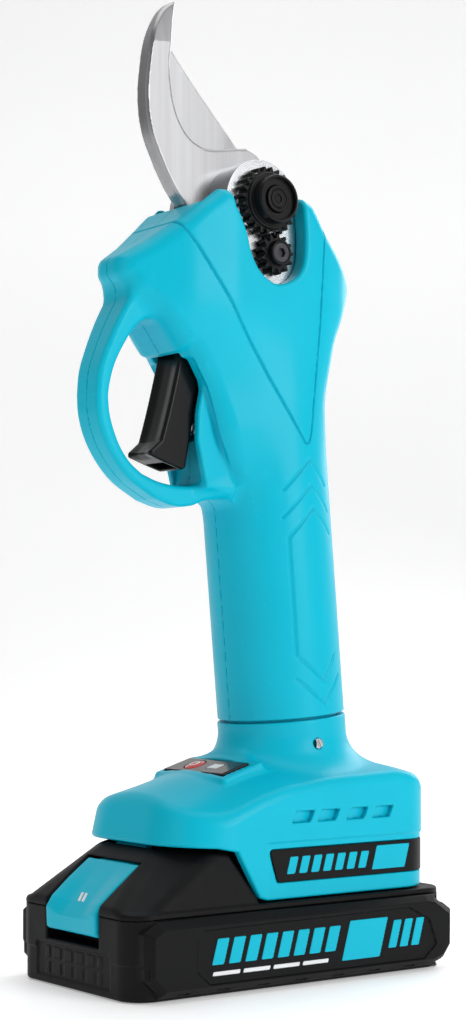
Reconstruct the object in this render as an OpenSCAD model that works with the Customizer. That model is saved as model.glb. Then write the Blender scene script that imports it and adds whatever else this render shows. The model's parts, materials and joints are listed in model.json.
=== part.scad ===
// Battery electric pruner: bypass blades driven through bevel gears by a motor in the grip.
// -X is the trigger side, -Y the left side, +Z up. The origin is the centre of the pack's underside.

/* [Blades] */
// Height of the blade pivot above the bench
pivot_z = 231.5; // [230:0.5:233]
// Distance of the blade pivot behind the pack's middle
pivot_x = 5.4; // [4.8:0.2:6]
// Thickness of the fixed hook blade
hook_t = 5; // [4.5:0.1:5]
// Thickness of the moving blade
blade_t = 3; // [2.6:0.1:3]
// Radius of the pivot bolt
bolt_r = 4; // [3.8:0.05:4]

/* [Drive] */
// Forward lean of the motor axis in degrees
drive_tilt = 6.5; // [6:0.1:6.8]
// Teeth of the full bevel gear that the sector is cut from
sector_teeth = 40; // [40:1:40]
// Teeth of the bevel pinion
pinion_teeth = 13; // [13:1:13]
// Teeth of the sun gear and of each planet
sun_teeth = 15; // [15:1:15]
// Outer radius of the motor and gearbox
drive_r = 15.5; // [15:0.1:15.6]

/* [Grip] */
// Radius of the grip
grip_r = 19.6; // [19.5:0.1:20]
// Forward lean of the grip in degrees
grip_tilt = 5.1; // [5:0.1:5.3]
// Height of the joint between grip and foot
seam_z = 79; // [78.5:0.5:79.5]
// Half the width of the head across its cheeks
cheek_y = 19; // [18.8:0.1:19.2]
// Outer radius of the finger guard
guard_r = 30.6; // [30:0.1:31]
// Half the width of the finger guard
guard_y = 6.3; // [6:0.1:6.6]

/* [Foot and pack] */
// Half the width of the foot
foot_y = 30.5; // [30:0.1:31]
// Half the width of the pack over its side bumpers
pack_y = 35; // [34.6:0.1:35.4]
// Back end of the pack
pack_back = 64; // [63:0.5:65]
// Front end of the pack
pack_front = -53; // [-53.5:0.5:-52.5]
// Wall of the moulded shells
wall = 2.5; // [2.2:0.1:2.6]

/* [Hidden] */

$fn = 48;
eps = 0.02;              // overlap that joins two solids of one piece
run_gap = 0.03;          // radial clearance of a running fit
pressure = 25;           // pressure angle of every gear
lash = 0.10;             // backlash taken off each tooth

// Places along the pivot axis (Y)
hook_y0 = -3.5;
hook_y1 = hook_y0 + hook_t;
blade_y0 = 1.55;
blade_y1 = blade_y0 + blade_t;
gear_back = 11.5;
cover_y0 = 14;
cover_y1 = 16.4;
frame_y0 = -13.5;
frame_plate_y1 = -10;
nut_y0 = -22.5;
nut_y1 = -13.95;
hub_r = 13;
bush_r = 6;
hook_lug_front = [-9, 221.5];
hook_lug_back = [19.5, 223];

// Gears on the pivot: the nut and the small gear that locks it
lock_module = 0.84;
nut_teeth = 24;
lock_teeth = 13;
lock_reach = lock_module * (nut_teeth + lock_teeth) / 2;
lock_angle = -79;
lock_x = pivot_x + lock_reach * cos(lock_angle);
lock_z = pivot_z + lock_reach * sin(lock_angle);

// Bevel pair: the cone distance and the face width
bevel_module = 1;
sector_rp = bevel_module * sector_teeth / 2;
pinion_rp = bevel_module * pinion_teeth / 2;
cone_dist = sqrt(sector_rp * sector_rp + pinion_rp * pinion_rp);
sector_cone = atan(sector_rp / pinion_rp);
pinion_cone = 90 - sector_cone;
bevel_face = 6;
bevel_inner = (cone_dist - bevel_face) / cone_dist;

// Planet stage
planet_module = 0.55;
sun_rp = planet_module * sun_teeth / 2;
ring_teeth = 3 * sun_teeth;
planet_orbit = 2 * sun_rp;

// Distances down the motor axis from the pivot
pinion_end = 25.3;
bearing_s = 25.4;
frame_block_end = 33;
gearbox_s = 36.5;
ring_s = 40;
ring_end = 58;
motor_s = 60.5;
motor_end = 100;
rotor_end = 105;

// Grip and housing
grip_x = 22.9;
bore_r = 16.5;
screw_r = 1.25;
housing_screw_at = [[-29.5, 206, 6.5], [-15.5, 197.5, 10], [30.6, 194, 10], [35.5, 210, 8],
    [18.9, 122, 11], [21.9, 88, 11]];
guard_at = [-17.8, 172];
trigger_at = [-15.6, 186];

// Foot, pack and latch
foot_front = -35;
foot_back = 60.5;
deck_y = 22.8;
deck_top = 41;
cover_top = 24.8;
tub_top = 23;
cell_r = 9.2;
cell_len = 65;
cell_pitch = 19.6;
cell_x0 = -33;
cell_z = 12.6;
terminal_at = [-9, 0, 9];
deck_back = 47;
block_x = [49, 57];
foot_screw_at = [[-15, -23], [-15, 23], [40, -22.5], [40, 22.5]];
pack_screw_at = [[-47.8, -22], [-47.8, 22], [59, -28], [59, 28]];
panel_slope = 17;
panel_at = [-5.4, 0, 62];

teal = [0, 0.72, 0.82];
black = [0.1, 0.1, 0.11];
steel = [0.75, 0.76, 0.78];
dark_steel = [0.2, 0.2, 0.22];

// ---- Outline helpers ----

function arc(cx, cy, r, a0, a1, n = 6) =
    [for (i = [0:n]) let (a = a0 + (a1 - a0) * i / n) [cx + r * cos(a), cy + r * sin(a)]];

function bezier(a, b, c, d, n = 14) =
    [for (i = [0:n]) let (t = i / n, s = 1 - t)
        s * s * s * a + 3 * s * s * t * b + 3 * s * t * t * c + t * t * t * d];

function round_box(x0, x1, hw, r, inset = 0) = concat(
    arc(x1 - r, r - hw, r - inset, -90, 0), arc(x1 - r, hw - r, r - inset, 0, 90),
    arc(x0 + r, hw - r, r - inset, 90, 180), arc(x0 + r, r - hw, r - inset, 180, 270));

// Extrudes an (X, Z) outline from y0 to y1.
module along_y(y0, y1) {
    translate([0, y1, 0]) rotate([90, 0, 0]) linear_extrude(y1 - y0) children();
}

// Extrudes a (Y, Z) outline from x0 to x1.
module along_x(x0, x1) {
    translate([x0, 0, 0]) rotate([90, 0, 90]) linear_extrude(x1 - x0) children();
}

module pin_y(x, z, r, y0, y1) along_y(y0, y1) translate([x, z]) circle(r);

module at_pivot() translate([pivot_x, 0, pivot_z]) children();

// The motor axis: local -Z runs down the grip from the pivot.
module on_drive() at_pivot() rotate([0, -drive_tilt, 0]) children();

module drive_cylinder(s0, s1, r) on_drive() translate([0, 0, -s1]) cylinder(h = s1 - s0, r = r);

// The grip axis: local +Z runs up from the joint with the foot.
module on_grip() translate([grip_x, 0, seam_z]) rotate([0, -grip_tilt, 0]) children();

module box(lo, hi) translate(lo) cube(hi - lo);

// ---- Gear teeth ----

function involute(r, rb) = r <= rb ? 0 : sqrt(r * r / (rb * rb) - 1) * 180 / PI - acos(rb / r);

// Half the angle of a tooth at radius r, on a gear of z teeth and pitch radius rp.
function half_tooth(r, z, rp, cut) = 90 / z - cut / rp * 90 / PI
    + involute(rp, rp * cos(pressure)) - involute(r, rp * cos(pressure));

function tooth_radii(r0, r1, n = 5) = [for (i = [0:n]) r0 + (r1 - r0) * i / n];

// One tooth as [angle, radius] pairs, from its leading root round its tip.
function tooth(z, rp, r0, r1, cut) = let (radii = tooth_radii(r0, r1), n = len(radii) - 1)
    concat([for (i = [0:n]) [-half_tooth(radii[i], z, rp, cut), radii[i]]],
        [for (i = [n:-1:0]) [half_tooth(radii[i], z, rp, cut), radii[i]]]);

module spur(z, m, add = 1, ded = 1.2, cut = lash) {
    rp = m * z / 2;
    one = tooth(z, rp, rp - ded * m, rp + add * m, cut);
    polygon([for (k = [0:z - 1]) for (p = one)
        let (a = p[0] + 360 * k / z) [p[1] * cos(a), p[1] * sin(a)]]);
}

// Points of a bevel gear's toothed edge on its back cone, shrunk by k towards the apex at the origin.
function bevel_edge(z, cone, first, last, turn, k) = let (
    rp = bevel_module * z / 2,
    rv = rp / cos(cone),
    zv = z / cos(cone),
    one = tooth(zv, rv, rv - 1.15 * bevel_module, rv + 0.95 * bevel_module, lash))
    [for (i = [first:last]) for (p = one)
        let (a = turn + 360 * i / z + p[0] / cos(cone), r = p[1] * cos(cone) * k)
        [r * cos(a), r * sin(a), (cone_dist / cos(cone) - p[1] * sin(cone)) * k]];

function ring_at(edge, r, z) = [for (p = edge) let (d = norm([p[0], p[1]]))
    [p[0] * r / d, p[1] * r / d, z]];

// A strip of bevel teeth between its big end, two back edges and its small end.
module bevel_strip(z, cone, first, last, turn, r_out, z_out, r_in, z_in, closed) {
    big = bevel_edge(z, cone, first, last, turn, 1);
    small = bevel_edge(z, cone, first, last, turn, bevel_inner);
    n = len(big);
    points = concat(big, ring_at(big, r_out, z_out), ring_at(small, r_in, z_in), small);
    steps = closed ? n - 1 : n - 2;
    sides = [for (row = [0:3]) for (i = [0:steps])
        let (j = (i + 1) % n, a = row * n, b = ((row + 1) % 4) * n)
        each [[a + i, b + i, b + j], [a + i, b + j, a + j]]];
    ends = closed ? [] : [[0, 3 * n, 2 * n], [0, 2 * n, n],
        [n - 1, 2 * n - 1, 3 * n - 1], [n - 1, 3 * n - 1, 4 * n - 1]];
    polyhedron(points, concat(sides, ends), convexity = 8);
}

// ---- Swept wire ----

// A round wire through the given points, with rings square to the path.
module wire(path, r, sides = 6) {
    n = len(path);
    function ahead(i) = let (v = path[min(i + 1, n - 1)] - path[max(i - 1, 0)]) v / norm(v);
    function across(v) = let (c = cross(v, abs(v[2]) < 0.9 ? [0, 0, 1] : [0, 1, 0])) c / norm(c);
    rings = [for (i = [0:n - 1]) let (v = ahead(i), a = across(v), b = cross(v, a))
        for (k = [0:sides - 1]) path[i] + r * (cos(360 * k / sides) * a + sin(360 * k / sides) * b)];
    skin = [for (i = [0:n - 2]) for (k = [0:sides - 1]) let (m = (k + 1) % sides, o = i * sides)
        each [[o + k, o + sides + m, o + m], [o + k, o + sides + k, o + sides + m]]];
    polyhedron(rings, concat(skin, [[for (k = [0:sides - 1]) k]],
        [[for (k = [sides - 1:-1:0]) (n - 1) * sides + k]]), convexity = 6);
}

// A compression spring along +Z from the origin.
module coil(r, wire_r, height, turns, steps = 12) {
    wire([for (i = [0:turns * steps]) let (a = 360 * i / steps)
        [r * cos(a), r * sin(a), wire_r + (height - 2 * wire_r) * i / (turns * steps)]], wire_r);
}

// ---- Blades and pivot ----

module fixed_blade() {
    spine = bezier([-14, 226], [-31, 243], [-38.5, 268], [-17, 291]);
    inside = bezier([-17, 291], [-21.5, 275], [-23.5, 254], [-9.5, 248.3]);
    base = [[7.7, 250.5], [12, 248.3], [19, 239], [25, 224], [19.5, 219.6], [-9, 219.4]];
    color(steel) difference() {
        union() {
            along_y(hook_y0, hook_y1) polygon(concat(spine, inside, base));
            pin_y(hook_lug_front[0], hook_lug_front[1], 4.9, hook_y0, hook_y1);
        }
        pin_y(pivot_x, pivot_z, bolt_r + run_gap, hook_y0 - 1, hook_y1 + 1);
        for (p = [hook_lug_front, hook_lug_back]) pin_y(p[0], p[1], 2.1, hook_y0 - 1, hook_y1 + 1);
    }
}

module moving_blade() {
    edge = bezier([-15.5, 278.5], [-29, 268], [-28.5, 246], [-7.2, 229]);
    back = bezier([17.5, 236], [15.5, 246], [-1.5, 258], [-15.5, 278.5]);
    color(steel) difference() {
        along_y(blade_y0, blade_y1) {
            polygon(concat(edge, [[pivot_x, pivot_z]], back));
            translate([pivot_x, pivot_z]) circle(hub_r);
        }
        pin_y(pivot_x, pivot_z, bush_r, blade_y0 - 1, blade_y1 + 1);
        sector_screw_set(1.5, blade_y0 - 1, blade_y1 + 1);
    }
}

module sector_screw_set(r, y0, y1) {
    for (a = [100, 220, 340])
        pin_y(pivot_x + 9.3 * cos(a), pivot_z + 9.3 * sin(a), r, y0, y1);
}

module sector_gear() {
    down = 90 - drive_tilt;
    web = arc(0, 0, 15.2, down - 58, down + 15, 12);
    color(dark_steel) difference() {
        union() {
            at_pivot() rotate([-90, 0, 0]) {
                bevel_strip(sector_teeth, sector_cone, -6, 1, down, sector_rp + 0.8, gear_back,
                    13.7, gear_back, false);
                translate([0, 0, 7.6]) linear_extrude(gear_back - 7.6)
                    polygon(concat([[0, 0]], web));
            }
            pin_y(pivot_x, pivot_z, hub_r, blade_y1, gear_back);
        }
        pin_y(pivot_x, pivot_z, bush_r, 0, gear_back + 1);
        sector_screw_set(1.5, 0, gear_back + 1);
    }
}

module sector_screws() color(steel) {
    sector_screw_set(1.5, blade_y0 + 0.2, gear_back - 0.2);
}

module pivot_bush() color([0.72, 0.55, 0.25]) difference() {
    pin_y(pivot_x, pivot_z, bush_r, blade_y0, gear_back);
    pin_y(pivot_x, pivot_z, bolt_r + run_gap, 0, gear_back + 1);
}

module pivot_bolt() color(dark_steel) difference() {
    union() {
        pin_y(pivot_x, pivot_z, bolt_r, nut_y0 + 1.2, cover_y1 + eps);
        along_y(cover_y1, cover_y1 + 3.2) translate([pivot_x, pivot_z]) circle(6.6, $fn = 6);
    }
    along_y(nut_y0, nut_y0 + 3) translate([pivot_x, pivot_z]) circle(1.8, $fn = 6);
}

module pivot_washers() color(steel) {
    for (span = [[frame_y0 - 0.42, frame_y0, 9.2], [gear_back + 0.06, cover_y0, 9.6]])
        difference() {
            pin_y(pivot_x, pivot_z, span[2], span[0], span[1]);
            pin_y(pivot_x, pivot_z, bolt_r + run_gap, span[0] - 1, span[1] + 1);
        }
}

module lock_nut() color(dark_steel) difference() {
    union() {
        along_y(-17.6, nut_y1) translate([pivot_x, pivot_z]) rotate(lock_angle)
            spur(nut_teeth, lock_module, 0.95, 1.15);
        pin_y(pivot_x, pivot_z, 8.4, -18.6, -17.5);
        pin_y(pivot_x, pivot_z, 7.1, nut_y0, -18.5);
    }
    pin_y(pivot_x, pivot_z, bolt_r + run_gap, nut_y0 - 1, nut_y1 + 1);
    pin_y(pivot_x, pivot_z, 5.4, nut_y0 - 1, nut_y0 + 1.4);
}

module lock_gear() color(dark_steel) difference() {
    union() {
        along_y(-17.4, nut_y1) translate([lock_x, lock_z])
            rotate(lock_angle + 180 + 180 / lock_teeth) spur(lock_teeth, lock_module, 0.95, 1.15);
        pin_y(lock_x, lock_z, 3.7, -19.6, -17.3);
    }
    pin_y(lock_x, lock_z, 2 + run_gap, -21, nut_y1 + 1);
    pin_y(lock_x, lock_z, 2.9, -21, -17.9);
}

module lock_gear_screw() color(steel) difference() {
    union() {
        pin_y(lock_x, lock_z, 2, -17.9 + eps, frame_plate_y1 + 1.5);
        pin_y(lock_x, lock_z, 2.8, -19.3, -17.95);
    }
    along_y(-20, -18.3) translate([lock_x, lock_z]) circle(1.5, $fn = 6);
}

// Pear-shaped plate outline that both sides of the gear case share.
module case_outline() {
    translate([pivot_x, pivot_z]) circle(hub_r);
    translate([8, 216]) circle(hub_r);
    polygon([[-7.4, 229], [-4.8, 218], [20.8, 218], [18.3, 229]]);
}

module head_frame() color(steel) difference() {
    union() {
        along_y(frame_y0, frame_plate_y1) {
            case_outline();
            for (p = [hook_lug_front, hook_lug_back]) translate(p) circle(5);
            polygon([[-11, 226], [-11, 217], [8, 207], [22, 218.5], [22, 227.5]]);
        }
        pin_y(pivot_x, pivot_z, hub_r, frame_y0, hook_y0);
        for (p = [hook_lug_front, hook_lug_back]) pin_y(p[0], p[1], 4.4, frame_y0, hook_y0);
        on_drive() box([-11.5, frame_y0, -frame_block_end], [11.5, cover_y0, -24.6]);
    }
    pin_y(pivot_x, pivot_z, bolt_r, frame_y0 - 1, hook_y0 + 1);
    pin_y(lock_x, lock_z, 2, frame_y0 - 1, frame_plate_y1 + 1);
    for (p = [hook_lug_front, hook_lug_back]) pin_y(p[0], p[1], 2, frame_y0 + 2, hook_y0 + 1);
    drive_cylinder(24, 30.5, 8);
    drive_cylinder(30, 34, 6);
    cover_screw_set(1.4, cover_y0 - 7, cover_y0 + 1);
}

module cover_screw_set(r, y0, y1) {
    for (side = [-1, 1]) on_drive() translate([9.8 * side, y1, -28.8])
        rotate([90, 0, 0]) cylinder(h = y1 - y0, r = r);
}

module gear_cover() color(steel) difference() {
    along_y(cover_y0, cover_y1) {
        case_outline();
        translate([pivot_x, pivot_z]) rotate(drive_tilt) translate([-11.5, -frame_block_end])
            square([23, 20]);
    }
    pin_y(pivot_x, pivot_z, bolt_r, cover_y0 - 1, cover_y1 + 1);
    cover_screw_set(1.4, cover_y0 - 1, cover_y1 + 1);
}

module frame_screws() color(dark_steel) {
    for (p = [hook_lug_front, hook_lug_back]) {
        pin_y(p[0], p[1], 2, frame_y0 + 4, hook_y1 - 1.2);
    }
    cover_screw_set(1.4, cover_y0 - 6.5, cover_y1);
}

// ---- Bevel pinion and bearing ----

module bevel_pinion() color(steel) {
    on_drive() rotate([180, 0, 0])
        bevel_strip(pinion_teeth, pinion_cone, 0, pinion_teeth - 1, 270 + 180 / pinion_teeth,
            2.4, 20.6, 2.4, 14.2, true);
    drive_cylinder(14.2, 20.8, 2.8);
    drive_cylinder(20.2, pinion_end, 4.8);
    drive_cylinder(pinion_end - eps, 45.4, 4);
}

module drive_tube(s0, s1, r0, r1) difference() {
    drive_cylinder(s0, s1, r1);
    drive_cylinder(s0 - 1, s1 + 1, r0);
}

module bearing_inner_ring() color(steel) drive_tube(bearing_s, bearing_s + 5, 4, 5.3);

module bearing_outer_ring() color(steel) drive_tube(bearing_s, bearing_s + 5, 6.9, 8);

module bearing_balls() color(steel) {
    on_drive() for (i = [0:10]) rotate(360 * i / 11)
        translate([6.1, 0, -bearing_s - 2.5]) sphere(0.74, $fn = 24);
}

// ---- Gearbox ----

module gearbox_front() color(dark_steel) difference() {
    drive_cylinder(gearbox_s, ring_s, drive_r);
    drive_cylinder(gearbox_s - 1, ring_s + 1, 4 + run_gap);
}

module ring_gear() color(dark_steel) difference() {
    drive_cylinder(ring_s, ring_end, drive_r);
    drive_cylinder(ring_s - 1, 46.2, 13.4);
    drive_cylinder(54.8, ring_end + 1, 13.4);
    on_drive() translate([0, 0, -56]) linear_extrude(11)
        spur(ring_teeth, planet_module, 1.2, 0.75, -lash);
}

module planet_pin_set(r, s0, s1) {
    on_drive() for (i = [0:2]) rotate(120 * i)
        translate([planet_orbit, 0, -s1]) cylinder(h = s1 - s0, r = r);
}

module planet_carrier() color(steel) {
    difference() {
        drive_cylinder(40.6, 45.4, 12.6);
        drive_cylinder(40, 46, 4);
    }
    planet_pin_set(1.5, 45.3, 54.6);
}

module planet_gear(i) color(steel) on_drive() rotate(120 * i) translate([planet_orbit, 0, -54])
    difference() {
        linear_extrude(8) spur(sun_teeth, planet_module, 0.95, 1.1);
        translate([0, 0, -1]) cylinder(h = 10, r = 1.5 + run_gap);
    }

module planet_gear_1() planet_gear(0);
module planet_gear_2() planet_gear(1);
module planet_gear_3() planet_gear(2);

module sun_gear() color([0.72, 0.55, 0.25]) difference() {
    on_drive() translate([0, 0, -55]) linear_extrude(9) spur(sun_teeth, planet_module, 0.95, 1.1);
    drive_cylinder(45, 56, 1.6);
}

// ---- Motor ----

module motor_plate() color(dark_steel) drive_tube(ring_end, motor_s, 3, drive_r);

module motor_can() color([0.35, 0.36, 0.38]) difference() {
    drive_cylinder(motor_s, motor_end, 14.8);
    drive_cylinder(motor_s + 6, motor_end + 1, 13.6);
    drive_cylinder(motor_s + 2, motor_s + 7, 4.5);
    drive_cylinder(motor_s - 1, motor_s + 3, 3);
}

module motor_stator() {
    color([0.45, 0.45, 0.48]) difference() {
        drive_cylinder(70, 90, 13.6);
        drive_cylinder(69, 91, 11.2);
    }
    color([0.72, 0.38, 0.16]) on_drive() for (i = [0:5]) rotate(60 * i)
        box([8.2, -3, -91.5], [11.3, 3, -68.5]);
}

module motor_rotor() {
    color(steel) drive_cylinder(46.2, rotor_end, 1.6);
    color([0.25, 0.25, 0.28]) drive_cylinder(70, 90, 7.6);
}

module motor_bearings() color(steel) {
    drive_tube(motor_s + 2, motor_s + 6, 1.6 + run_gap, 4.5);
    drive_tube(96.5, motor_end, 1.6 + run_gap, 4.5);
}

module motor_end_cap() color([0.35, 0.36, 0.38]) difference() {
    union() {
        drive_cylinder(motor_end, 103, 14.8);
        drive_cylinder(96.5, motor_end + eps, 13.6);
    }
    drive_cylinder(96, motor_end, 4.5);
    drive_cylinder(96, 104, 3);
    on_drive() for (i = [0:2]) rotate(120 * i) translate([9.2, 0, -104]) cylinder(h = 9, r = 2);
}

// ---- Control electronics ----

module control_board() color([0.05, 0.32, 0.15]) on_grip() box([-1, -12, 14], [0.6, 12, 36]);

module board_parts() {
    color(dark_steel) on_grip() for (y = [-8, 0, 8]) box([0.6, y - 3, 26], [3, y + 3, 33]);
    color(black) on_grip() box([-3, -4, 18], [-1, 4, 26]);
    color([0.9, 0.9, 0.86]) on_grip() for (y = [-8, 8]) box([0.6, y - 3, 15], [5.5, y + 3, 21]);
}

// The supply leads run back to the terminal block, the motor leads up to the end cap, and the
// signal wires up the front of the motor to the trigger switch.
supply_route = [[24.6, 8, 93.6], [26.6, 8, 91.5], [28.2, 8, 88], [28.8, 8, 82], [29.6, 8, 74],
    [32, 7.4, 64], [38, 6.6, 56], [46, 5.8, 52], [51.5, 5.6, 49.5], [53.1, 5.6, 46], [53.1, 5.6, 39]];
motor_route = [[25, 8, 129], [25.6, 8, 122], [24.6, 8, 117], [21.8, 8, 112.6]];
signal_route = [[-7.4, 3.4, 169.4], [-6.8, 3.5, 167.6], [-4.8, 3.7, 165.8], [-3.3, 3.7, 164.6],
    [-2.45, 3.3, 162.8], [-1.9, 2, 158], [-1, 2, 150], [0.1, 2, 140], [1.2, 2, 131.5], [1.8, 2, 128], [2.6, 2, 125.4],
    [6, 2, 121.5], [11, 2, 118], [18.4, 2, 114.4]];

function across_y(route, k) = [for (p = route) [p[0], p[1] * k, p[2]]];

module wiring() {
    color([0.7, 0.1, 0.1]) for (k = [-1, 1]) wire(across_y(supply_route, k), 1.1, 8);
    color([0.15, 0.3, 0.7]) for (k = [-1, 0, 1]) wire(across_y(motor_route, k), 0.9, 8);
    color([0.9, 0.75, 0.1]) for (k = [-1, 1]) wire(across_y(signal_route, k), 0.55, 8);
}

// ---- Housing halves ----

module head_side() polygon(concat(
    [[-3, 142], [36.6, 142]], [[33, 159.8], [31.4, 170], [31.4, 177], [34.2, 192.4]],
    [[43, 208.5], [43.8, 213.6], [33.4, 225.8], [26.3, 234.8], [21, 236.2], [-13, 235.4]],
    [[-17.7, 232.1], [-22.8, 224.4], [-32.5, 216.9], [-40.6, 211.6], [-41, 207.4], [-36.2, 202]],
    [[-31, 197], [-22.4, 185.4], [-20.4, 185.4]],
    [[-15.8, 176.5], [-12.2, 167], [-8.8, 156.5], [-5.4, 148.4]]));

module head_plan_top() polygon([[-45, 8.5], [-38, 11], [-24, 15.5], [-9, cheek_y], [25, cheek_y],
    [34, 16.5], [45, 9], [45, -9], [34, -16.5], [25, -cheek_y], [-9, -cheek_y], [-24, -15.5],
    [-38, -11], [-45, -8.5]]);

module head_plan_low() polygon([[-40, 9], [-27, 10], [-12, 14], [2, 17.5], [13, cheek_y], [22, cheek_y],
    [30, 16], [38, 9], [38, -9], [30, -16], [22, -cheek_y], [13, -cheek_y], [2, -17.5],
    [-12, -14], [-27, -10], [-40, -9]]);

module head_solid() intersection() {
    along_y(-cheek_y, cheek_y) head_side();
    union() {
        translate([0, 0, 190]) linear_extrude(50) head_plan_top();
        translate([0, 0, 140]) linear_extrude(50 + eps) head_plan_low();
    }
}

// The finger guard, up to where its two ends run into the housing.
module guard() intersection() {
    difference() {
        pin_y(guard_at[0], guard_at[1], guard_r, -guard_y, guard_y);
        pin_y(guard_at[0], guard_at[1], 26, -guard_y - 1, guard_y + 1);
    }
    box([-60, -10, 130], [-4, 10, 210]);
}

module grip_solid() {
    on_grip() cylinder(h = 84, r = grip_r);
    on_grip() translate([0, 0, -13]) cylinder(h = 13 + eps, r = 17.3);
}

module trigger_space() along_y(-7.1, 7.1) polygon([[-23.4, 180], [-20.3, 184], [-19.9, 190.6],
    [-10.4, 190.6], [-9, 182], [-4.6, 182], [-4.6, 166], [-6.4, 156], [-7.6, 149.6], [-30, 149.6],
    [-34, 166]]);

// Low ribs that close the gap beside the trigger's rear edge.
module trigger_ribs() for (side = [-1, 1])
    along_y(side * 8.15 - 1.05, side * 8.15 + 1.05) polygon([[-14.4, 173], [-15.4, 166.4],
        [-14.6, 162.4], [-12.4, 161], [-2, 160.4], [-2, 173]]);

module cheek_cut(y0, y1) along_y(y0, y1) polygon(concat(
    [[-8.5, 240], [-8, 229.9], [-6.1, 225.8], [-3.9, 221], [-2.5, 215.9]],
    arc(6.4, 214.8, 8.2, 200, 270, 4), arc(9.8, 215.4, 8.2, 285, 355, 4),
    [[18.4, 222], [17.5, 229], [17, 240]]));

module head_space() {
    // Gear case and sweep of the sector
    along_y(frame_y0 - 0.2, 16.6) {
        translate([pivot_x, pivot_z]) circle(22.6);
        polygon([[-14.5, 217], [-13, 226], [-19.5, 240], [21, 240], [25.5, 228], [25.6, 217]]);
        translate([pivot_x, pivot_z]) rotate(drive_tilt) translate([-13.4, -frame_block_end - 1])
            square([26.8, 20]);
    }
    // Slot in front of the hook, left and right of the blades
    along_y(-4.2, 5.4) polygon([[-19.8, 226], [-26, 240], [-10, 240], [-10, 226]]);
}

module housing_screw_holes() for (p = housing_screw_at) {
    pin_y(p[0], p[1], screw_r, -9.5, 0);
    pin_y(p[0], p[1], screw_r + 0.3, -eps, p[2] + 1);
    pin_y(p[0], p[1], 2.9, p[2], cheek_y + 2);
}

module screw_post(p) intersection() {
    pin_y(p[0], p[1], 3.6, -cheek_y, cheek_y);
    on_grip() cylinder(h = 84, r = grip_r);
}

module housing() difference() {
    union() {
        difference() {
            union() {
                head_solid();
                grip_solid();
                trigger_ribs();
            }
            drive_cylinder(frame_block_end, 150, bore_r);
            on_grip() translate([0, 0, -20]) cylinder(h = 30, r = 14.8);
            trigger_space();
            head_space();
            along_y(-10, 10) polygon([[-32, 210], [-26, 214], [-19, 215], [-19.5, 203], [-25, 203]]);
            along_y(-11, 11) polygon([[32, 200], [29, 214], [30, 224], [38, 214]]);
            for (y = [-3.7, 3.7]) box([-7.5, y - 0.9, 162], [-2, y + 0.9, 167.6]);
        }
        guard();
        for (i = [0, 3]) pin_y(housing_screw_at[i][0], housing_screw_at[i][1], 3.2, -12, 12);
        for (i = [4, 5]) screw_post(housing_screw_at[i]);
    }
    housing_screw_holes();
    cheek_cut(-cheek_y - 1, 0);
    cheek_cut(0, cheek_y + 1);
    pin_y(trigger_at[0], trigger_at[1], 1.5, -9, 9);
    collar_screw_set(1.4, 10, 19);
}

module housing_left() color(teal) intersection() {
    housing();
    box([-60, -40, 60], [60, 0, 245]);
}

module housing_right() color(teal) intersection() {
    housing();
    box([-60, 0, 60], [60, 40, 245]);
}

module housing_screws() color(dark_steel) for (p = housing_screw_at) {
    pin_y(p[0], p[1], screw_r, -9, p[2] + eps);
    difference() {
        pin_y(p[0], p[1], 2.6, p[2], p[2] + 2);
        along_y(p[2] + 0.8, p[2] + 3) translate([p[0], p[1]]) circle(1.3, $fn = 6);
    }
}

// ---- Trigger ----

module trigger() color(black) difference() {
    along_y(-6.4, 6.4) polygon(concat(
        bezier([-18.6, 188], [-20.4, 180], [-23.6, 168], [-26.6, 158.4], 8),
        [[-29.6, 156.4], [-29.4, 155], [-24, 152.8], [-17.6, 150.9]],
        [[-15.6, 160], [-12.6, 174.6], [-11.6, 181], [-11.8, 187.4], [-14, 189.4], [-17.2, 189.4]]));
    // Hollow back of the moulding
    along_y(-4.6, 4.6) polygon([[-25, 148], [-23.2, 160], [-20.2, 172], [-18.6, 179],
        [-15.2, 179], [-15.4, 172], [-18.2, 160], [-19.6, 148]]);
    pin_y(trigger_at[0], trigger_at[1], 1.5 + run_gap, -8, 8);
}

module trigger_pin() color(steel) pin_y(trigger_at[0], trigger_at[1], 1.5, -9, 9);

module trigger_spring() color(steel) translate([-14, 0, 165]) rotate([0, 90, 0])
    coil(2.4, 0.35, 8.5, 5);

module trigger_switch() color(black) {
    box([-10.4, -4, 169.4], [-4.7, 4, 181]);
    box([-10.9, -1.2, 173], [-10.3, 1.2, 176]);
}

// ---- Foot ----

module foot_plan(z0, z1, inset) translate([0, 0, z0]) linear_extrude(z1 - z0)
    polygon(concat(arc(foot_back - 12, 12 - foot_y, 12 - inset, -90, 0),
        arc(foot_back - 12, foot_y - 12, 12 - inset, 0, 90),
        arc(foot_front + 20, foot_y - 20, 20 - inset, 90, 180),
        arc(foot_front + 20, 20 - foot_y, 20 - inset, 180, 270)));

module foot_side() polygon([[-38, 44], [-22, 41.6], [-15.8, 40], [-8, 26.3], [-5, 25.3],
    [62, 25.3], [62, 54], [59, 57.8], [54, 60.6], [46, 62.4], [-2, 63.2], [-34, 55],
    [-38, 52]]);

module foot_front_view() polygon([[-31, 24], [31, 24], [31, 53], [29.5, 57.5], [26, 60.5], [19, 64],
    [-19, 64], [-26, 60.5], [-29.5, 57.5], [-31, 53]]);

module foot_flare() on_grip() rotate_extrude($fn = 64) polygon([[0, -20], [28, -20], [26.6, -16.6],
    [23.4, -12.8], [21, -8], [20, -3], [19.8, -0.4], [0, -0.4]]);

module foot_band_shape(inset) difference() {
    intersection() {
        foot_plan(30.2, 40, 0);
        along_y(-32, 32) polygon([[-4.6, 40], [-1.6, 30.2], [70, 30.2], [70, 40]]);
    }
    foot_plan(29, 41, inset);
}

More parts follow.
